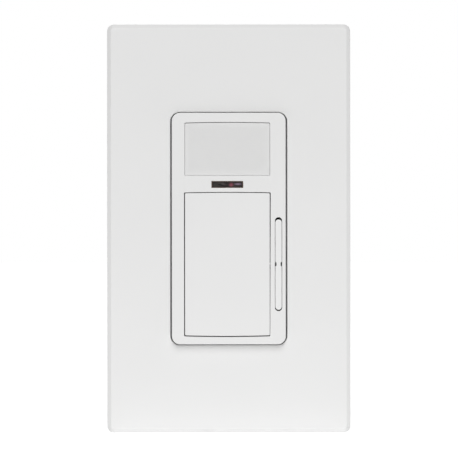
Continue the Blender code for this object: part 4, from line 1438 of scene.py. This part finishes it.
# Each group: columns, rows, pitch in X and Z, the middle, and the size of one.
CONTROL_LOW, CONTROL_HIGH = limits("control_board")
POWER_LOW = limits("power_board")[0]
JOINT = (1.3, 0.7, 1.3)
board(
    "control_board",
    "sensor_control_board",
    [
        (5, 1, (2.54, 0), (-1.0, CONTROL_HIGH.y, 25.5), JOINT),
        (4, 2, (2.6, 3.4), (-6.0, CONTROL_HIGH.y, 14.0), JOINT),
        (3, 6, (2.6, 4.6), (8.0, CONTROL_HIGH.y, -12.0), JOINT),
    ],
    [
        (4, 2, (2.2, 3.0), (-10.0, CONTROL_LOW.y, 6.0), (1.5, 0.9, 0.8)),
        (3, 3, (2.4, 2.2), (5.5, CONTROL_LOW.y, -3.0), (1.5, 0.9, 0.8)),
        (2, 6, (2.6, 2.2), (-11.5, CONTROL_LOW.y, -16.0), (1.6, 1.0, 0.85)),
    ],
)
board(
    "power_board",
    "relay_power_board",
    [
        (5, 2, (3.5, 12.0), (0.0, POWER_LOW.y, 18.5), JOINT),
        (5, 2, (2.9, 10.5), (-4.2, POWER_LOW.y, 1.5), JOINT),
        (2, 5, (5.0, 3.2), (12.5, POWER_LOW.y, -14.0), JOINT),
    ],
)
stand_ins("dimmer", (("insulator_sheet", FIBRE, "fibre_insulator", "insulator", 0.0),))

# %% [markdown]
# ## Wound parts
# The choke's copper wire passes through its ferrite ring again and again. One closed loop
# is instanced round a circle and turned to follow it, in a tree of its own, and the ring is
# a rounded square swept round the same circle.


# %% Choke
def choke_tree():
    graph = Grower("choke_winding", Ring="FLOAT", Section="FLOAT", Wire="FLOAT", Turns="INT")

    def circle(steps, radius):
        sockets = {"Resolution": steps, "Radius": graph.given(radius)}
        return graph.node("GeometryNodeCurvePrimitiveCircle", None, sockets)

    path = circle(graph.given("Turns"), "Ring")
    loop, wire = circle(20, "Section"), circle(8, "Wire")
    turn = graph.node("GeometryNodeCurveToMesh", None, {"Curve": loop, "Profile Curve": wire})
    spots = graph.node("GeometryNodeCurveToPoints", {"mode": "EVALUATED"}, {"Curve": path})
    facing = Wire(graph, spots.socket.node.outputs["Rotation"])
    copies = {"Points": spots, "Instance": turn, "Rotation": facing}
    return graph.end(graph.node("GeometryNodeInstanceOnPoints", None, copies), COPPER)


CHOKE_LOW, CHOKE_HIGH = limits("toroid_choke")
RING_RADIUS, SECTION, RING_SIDES = 7.0, 2.9, 48
CHOKE_WIRE, CHOKE_TURNS, WIRE_GAP = 0.38, 34, 0.1


def ring_core():
    shape = bmesh.new()
    side = 2 * (SECTION - 2 * CHOKE_WIRE - WIRE_GAP)
    loops = []
    for index in range(RING_SIDES):
        turn = 2 * math.pi * index / RING_SIDES
        spots = [(RING_RADIUS + x, z) for x, z in outline(side, side, 0.7)]
        points = [(out * math.cos(turn), out * math.sin(turn), z) for out, z in spots]
        loops.append([shape.verts.new(point) for point in points])
    for first, second in zip(loops, loops[1:] + loops[:1]):
        bridge(shape, first, second)
    return piece("choke_ring", shape, FERRITE)


winding = choke_tree().grow(
    "choke_turns",
    Ring=RING_RADIUS * MM,
    Section=(SECTION - CHOKE_WIRE) * MM,
    Wire=CHOKE_WIRE * MM,
    Turns=CHOKE_TURNS,
)
choke = welded("wound_choke", ring_core(), winding)
choke_place = Matrix.Translation((CHOKE_LOW + CHOKE_HIGH) / 2 * MM)
choke.data.transform(choke_place @ Matrix.Rotation(math.radians(90), 4, "X"))
show(shaded(choke), "dimmer", "copper_winding", "toroid_choke")

# %% [markdown]
# ## Transformer
# A transformer has a layer of wire on a bobbin inside a closed frame of ferrite. The bobbin
# is turned, the layer is wound with the same helix tree as the screws, and the frame is two
# legs and two yokes that overlap at their corners.

# %% Transformer
CORE_LOW, CORE_HIGH = limits("transformer")
CORE_INSET, CORE_LEG, CORE_YOKE = 1.1, 3.0, 1.6
HUB, FLANGE, FLANGE_TOP, FLANGE_FOOT = 3.7, 4.4, 7.3, 6.6
LAYER_WIRE, LAYER_LENGTH = 0.22, 12.4


def transformer_piece():
    shape = bmesh.new()
    inset = Vector((0.0, 0.0, CORE_INSET))
    low, high = CORE_LOW + inset, CORE_HIGH - inset
    for start, end in ((low.x, low.x + CORE_LEG), (high.x - CORE_LEG, high.x)):
        block(shape, (start, low.y, low.z), (end, high.y, high.z), 0.3)
    for start, end in ((low.y, low.y + CORE_YOKE), (high.y - CORE_YOKE, high.y)):
        block(shape, (low.x + 2, start, low.z), (high.x - 2, end, high.z), 0.3)
    return piece("transformer_core", shape, FERRITE)


half = [(0, FLANGE_TOP), (FLANGE - 0.2, FLANGE_TOP), (FLANGE, FLANGE_TOP - 0.2)]
half += [(FLANGE, FLANGE_FOOT), (HUB, FLANGE_FOOT - 0.2)]
bobbin = turned("bobbin", half + [(out, -up) for out, up in reversed(half)], TAPE)
layer = helix_tree("layer_winding", COPPER, 8).grow(
    "layer",
    Radius=(HUB + 0.1) * MM,
    Wire=LAYER_WIRE * MM,
    Pitch=(2 * LAYER_WIRE + 0.02) * MM,
    Length=LAYER_LENGTH * MM,
    Start=-LAYER_LENGTH / 2 * MM,
)
wound = welded("wound_transformer", bobbin, layer)
wound.data.transform(Matrix.Translation((CORE_LOW + CORE_HIGH) / 2 * MM))
show(shaded(wound), "dimmer", "copper_winding")
show(shaded(transformer_piece()), "dimmer", "ferrite", "transformer")

# %% [markdown]
# ## Turned parts: capacitor, sensor and fuse
# The smoothing capacitor is a turned can with a crimp near its foot and a sunk top. The
# sensor is a steel can on a wider base, and the fuse is a glass tube between metal caps. All
# are profiles spun round an axis and then moved into their place.

# %% Smoothing capacitor
CAN_LOW, CAN_HIGH = limits("electrolytic_capacitor")


def stand_on_board(obj, low, high, facing):
    """Moves a shape turned round Z onto a board, its top towards +Y or -Y."""
    top = (low + high) / 2
    top.y = high.y if facing > 0 else low.y
    turn = Matrix.Rotation(math.radians(-90 * facing), 4, "X")
    obj.data.transform(Matrix.Translation(top * MM) @ turn)
    return obj


wide, tall = (CAN_HIGH.x - CAN_LOW.x) / 2, CAN_HIGH.y - CAN_LOW.y
can_profile = [(0, -0.25), (wide - 0.9, -0.25), (wide - 0.75, 0.0), (wide - 0.3, 0.0)]
can_profile += [(wide, -0.35), (wide, -tall + 2.4), (wide - 0.4, -tall + 2.0)]
can_profile += [(wide - 0.4, -tall + 1.7), (wide, -tall + 1.3), (wide, -tall + 0.4)]
can_profile += [(wide - 0.3, -tall), (0, -tall)]
can = turned("smoothing_capacitor", can_profile, SLEEVE, 48)
stand_on_board(can, CAN_LOW, CAN_HIGH, 1)
show(shaded(can), "dimmer", "capacitor_sleeve", "electrolytic_capacitor")

# %% Sensor can
SENSOR_LOW, SENSOR_HIGH = limits("motion_sensor")
wide, tall = (SENSOR_HIGH.x - SENSOR_LOW.x) / 2, SENSOR_HIGH.y - SENSOR_LOW.y
sensor_profile = [(0, 0), (wide - 0.95, 0), (wide - 0.65, -0.12), (wide - 0.55, -0.4)]
sensor_profile += [(wide - 0.55, -tall + 0.6), (wide - 0.4, -tall + 0.5)]
sensor_profile += [(wide - 0.05, -tall + 0.5), (wide, -tall + 0.4), (wide, -tall + 0.05)]
sensor_profile += [(wide - 0.1, -tall), (0, -tall)]
sensor = turned("sensor_can", sensor_profile, ZINC, 48)
stand_on_board(sensor, SENSOR_LOW, SENSOR_HIGH, -1)
show(shaded(sensor), "dimmer", "zinc_steel", "motion_sensor")

# %% Fuse
FUSE_LOW, FUSE_HIGH = limits("fuse")
CAP_LENGTH, TUBE_START = 1.6, 1.1
wide, long = (FUSE_HIGH.x - FUSE_LOW.x) / 2, FUSE_HIGH.z - FUSE_LOW.z
bore, tube_end = wide - 0.15, TUBE_START - long
tube_profile = [(0, -TUBE_START), (bore, -TUBE_START), (bore, tube_end), (0, tube_end)]
tube = turned("fuse_tube", tube_profile, GLASS)
shape = bmesh.new()
for top in (0.0, CAP_LENGTH - long):
    foot = top - CAP_LENGTH
    lathe(shape, [(0, top), (wide - 0.2, top), (wide, top - 0.2), (wide, foot), (0, foot)])
caps = piece("fuse_caps", shape, TIN)
fuse_top = Vector((FUSE_LOW.x + wide, FUSE_LOW.y + wide, FUSE_HIGH.z)) * MM
for obj in (tube, caps):
    obj.data.transform(Matrix.Translation(fuse_top))
show(shaded(tube), "dimmer", "clear_plastic", "fuse")
show(shaded(caps), "dimmer", "zinc_steel")

# %% [markdown]
# ## Relay, box capacitor and controller
# A sealed relay is a thin case pushed over a base, with a vent nib on top that is cut off
# after soldering, and resin under it. The box capacitor stands on two feet over its resin,
# and the controller has gull-wing legs along two sides, grown with the row tree.

# %% Relay, box capacitor and controller
leg_rows = rows_tree("leg_rows", TIN, cube_unit)


def relay_piece():
    low, high = limits("relay")
    shape = bmesh.new()
    case_low, case_high = low + Vector((0.15, 0.9, 0.15)), high - Vector((0.15, 0.35, 0.15))
    block(shape, case_low, case_high, 0.6, 3)
    block(shape, low + Vector((0, 0.4, 0)), (high.x, low.y + 1.5, high.z), 0.25)
    inner, outer = high.y - 0.9, high.y - 0.1
    for x in (low.x + 2.2, high.x - 2.2):
        block(shape, (x - 0.5, inner, low.z + 1.6), (x + 0.5, outer, high.z - 1.6), 0.2)
    nib_x, nib_z = low.x + 3.8, low.z + 2.6
    post(shape, (nib_x, inner, nib_z), (nib_x, high.y, nib_z), 0.9, 0.6)
    return piece("relay_case", shape, RELAY_BLUE)


def resin_under(node, depth, inset):
    low, high = limits(node)
    shape = bmesh.new()
    resin_high = (high.x - inset, low.y + depth, high.z - inset)
    block(shape, (low.x + inset, low.y, low.z + inset), resin_high, 0.1)
    return piece(node + "_resin", shape, CASE_BLACK)


def box_capacitor():
    low, high = limits("film_capacitor")
    shape = bmesh.new()
    block(shape, (low.x, low.y + 0.3, low.z), (high.x, high.y, high.z), 0.45, 3)
    for z in (low.z + 0.8, high.z - 0.8):
        block(shape, (low.x + 0.6, low.y, z - 0.5), (high.x - 0.6, low.y + 0.8, z + 0.5), 0.1)
    return piece("film_box", shape, FILM_YELLOW)


def controller():
    low, high = limits("microcontroller")
    legs = leg_rows.grow(
        "controller_legs",
        Columns=2,
        Rows=8,
        Pitch=Vector((high.x - low.x, 0.0, (high.z - low.z) / 9)) * MM,
        Middle=Vector(((low.x + high.x) / 2, high.y - 0.25, (low.z + high.z) / 2)) * MM,
        Size=Vector((1.6, 0.28, 0.32)) * MM,
    )
    body = softened("microcontroller", CASE_BLACK, "chip_body", 0.12)
    return welded("controller_chip", body, legs)


relay = welded("sealed_relay", relay_piece(), resin_under("relay", 0.6, 0.4))
show(shaded(relay), "dimmer", "relay_case", "relay")
film = welded("box_film_capacitor", box_capacitor(), resin_under("film_capacitor", 0.5, 0.7))
show(shaded(film), "dimmer", "film_capacitor_case", "film_capacitor")
show(shaded(controller()), "dimmer", "black_plastic", "microcontroller")

# %% [markdown]
# ## Small moulded parts and buttons
# The rest is small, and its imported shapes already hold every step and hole, so softened
# copies in the right plastic are enough. The three switch buttons ride on their own bodies,
# because they move.

# %% Small parts
stand_ins(
    "dimmer",
    (
        ("board_connector", CASE_BLACK, "stacking_connector", "black_plastic", 0.15),
        ("power_transistor_upper", CASE_BLACK, "upper_transistor", "black_plastic", 0.3),
        ("power_transistor_lower", CASE_BLACK, "lower_transistor", "black_plastic", 0.3),
        ("paddle_switch_body", CASE_BLACK, "paddle_tact_switch", "black_plastic", 0.1),
        ("bar_upper_switch_body", CASE_BLACK, "upper_tact_switch", "black_plastic", 0.08),
        ("bar_lower_switch_body", CASE_BLACK, "lower_tact_switch", "black_plastic", 0.08),
        ("sensor_shroud", CASE_BLACK, "sensor_baffle", "black_plastic", 0.0),
        ("motion_sensor_filter", SMOKED, "sensor_filter", "smoked_window", 0.05),
        ("light_pipe", CLEAR, "lamp_light_pipe", "clear_plastic", 0.15),
        ("light_sensor", CLEAR, "ambient_sensor", "clear_plastic", 0.15),
        ("status_lamp", LAMP_RED, "red_lamp", "lamp", 0.12),
    ),
)
for body, node, name in (
    ("paddle_plunger", "paddle_switch_plunger", "paddle_button"),
    ("bar_upper_plunger", "bar_upper_switch_plunger", "upper_button"),
    ("bar_lower_plunger", "bar_lower_switch_plunger", "lower_button"),
):
    stand_ins(body, ((node, NYLON, name, "plunger_plastic", 0.15),))
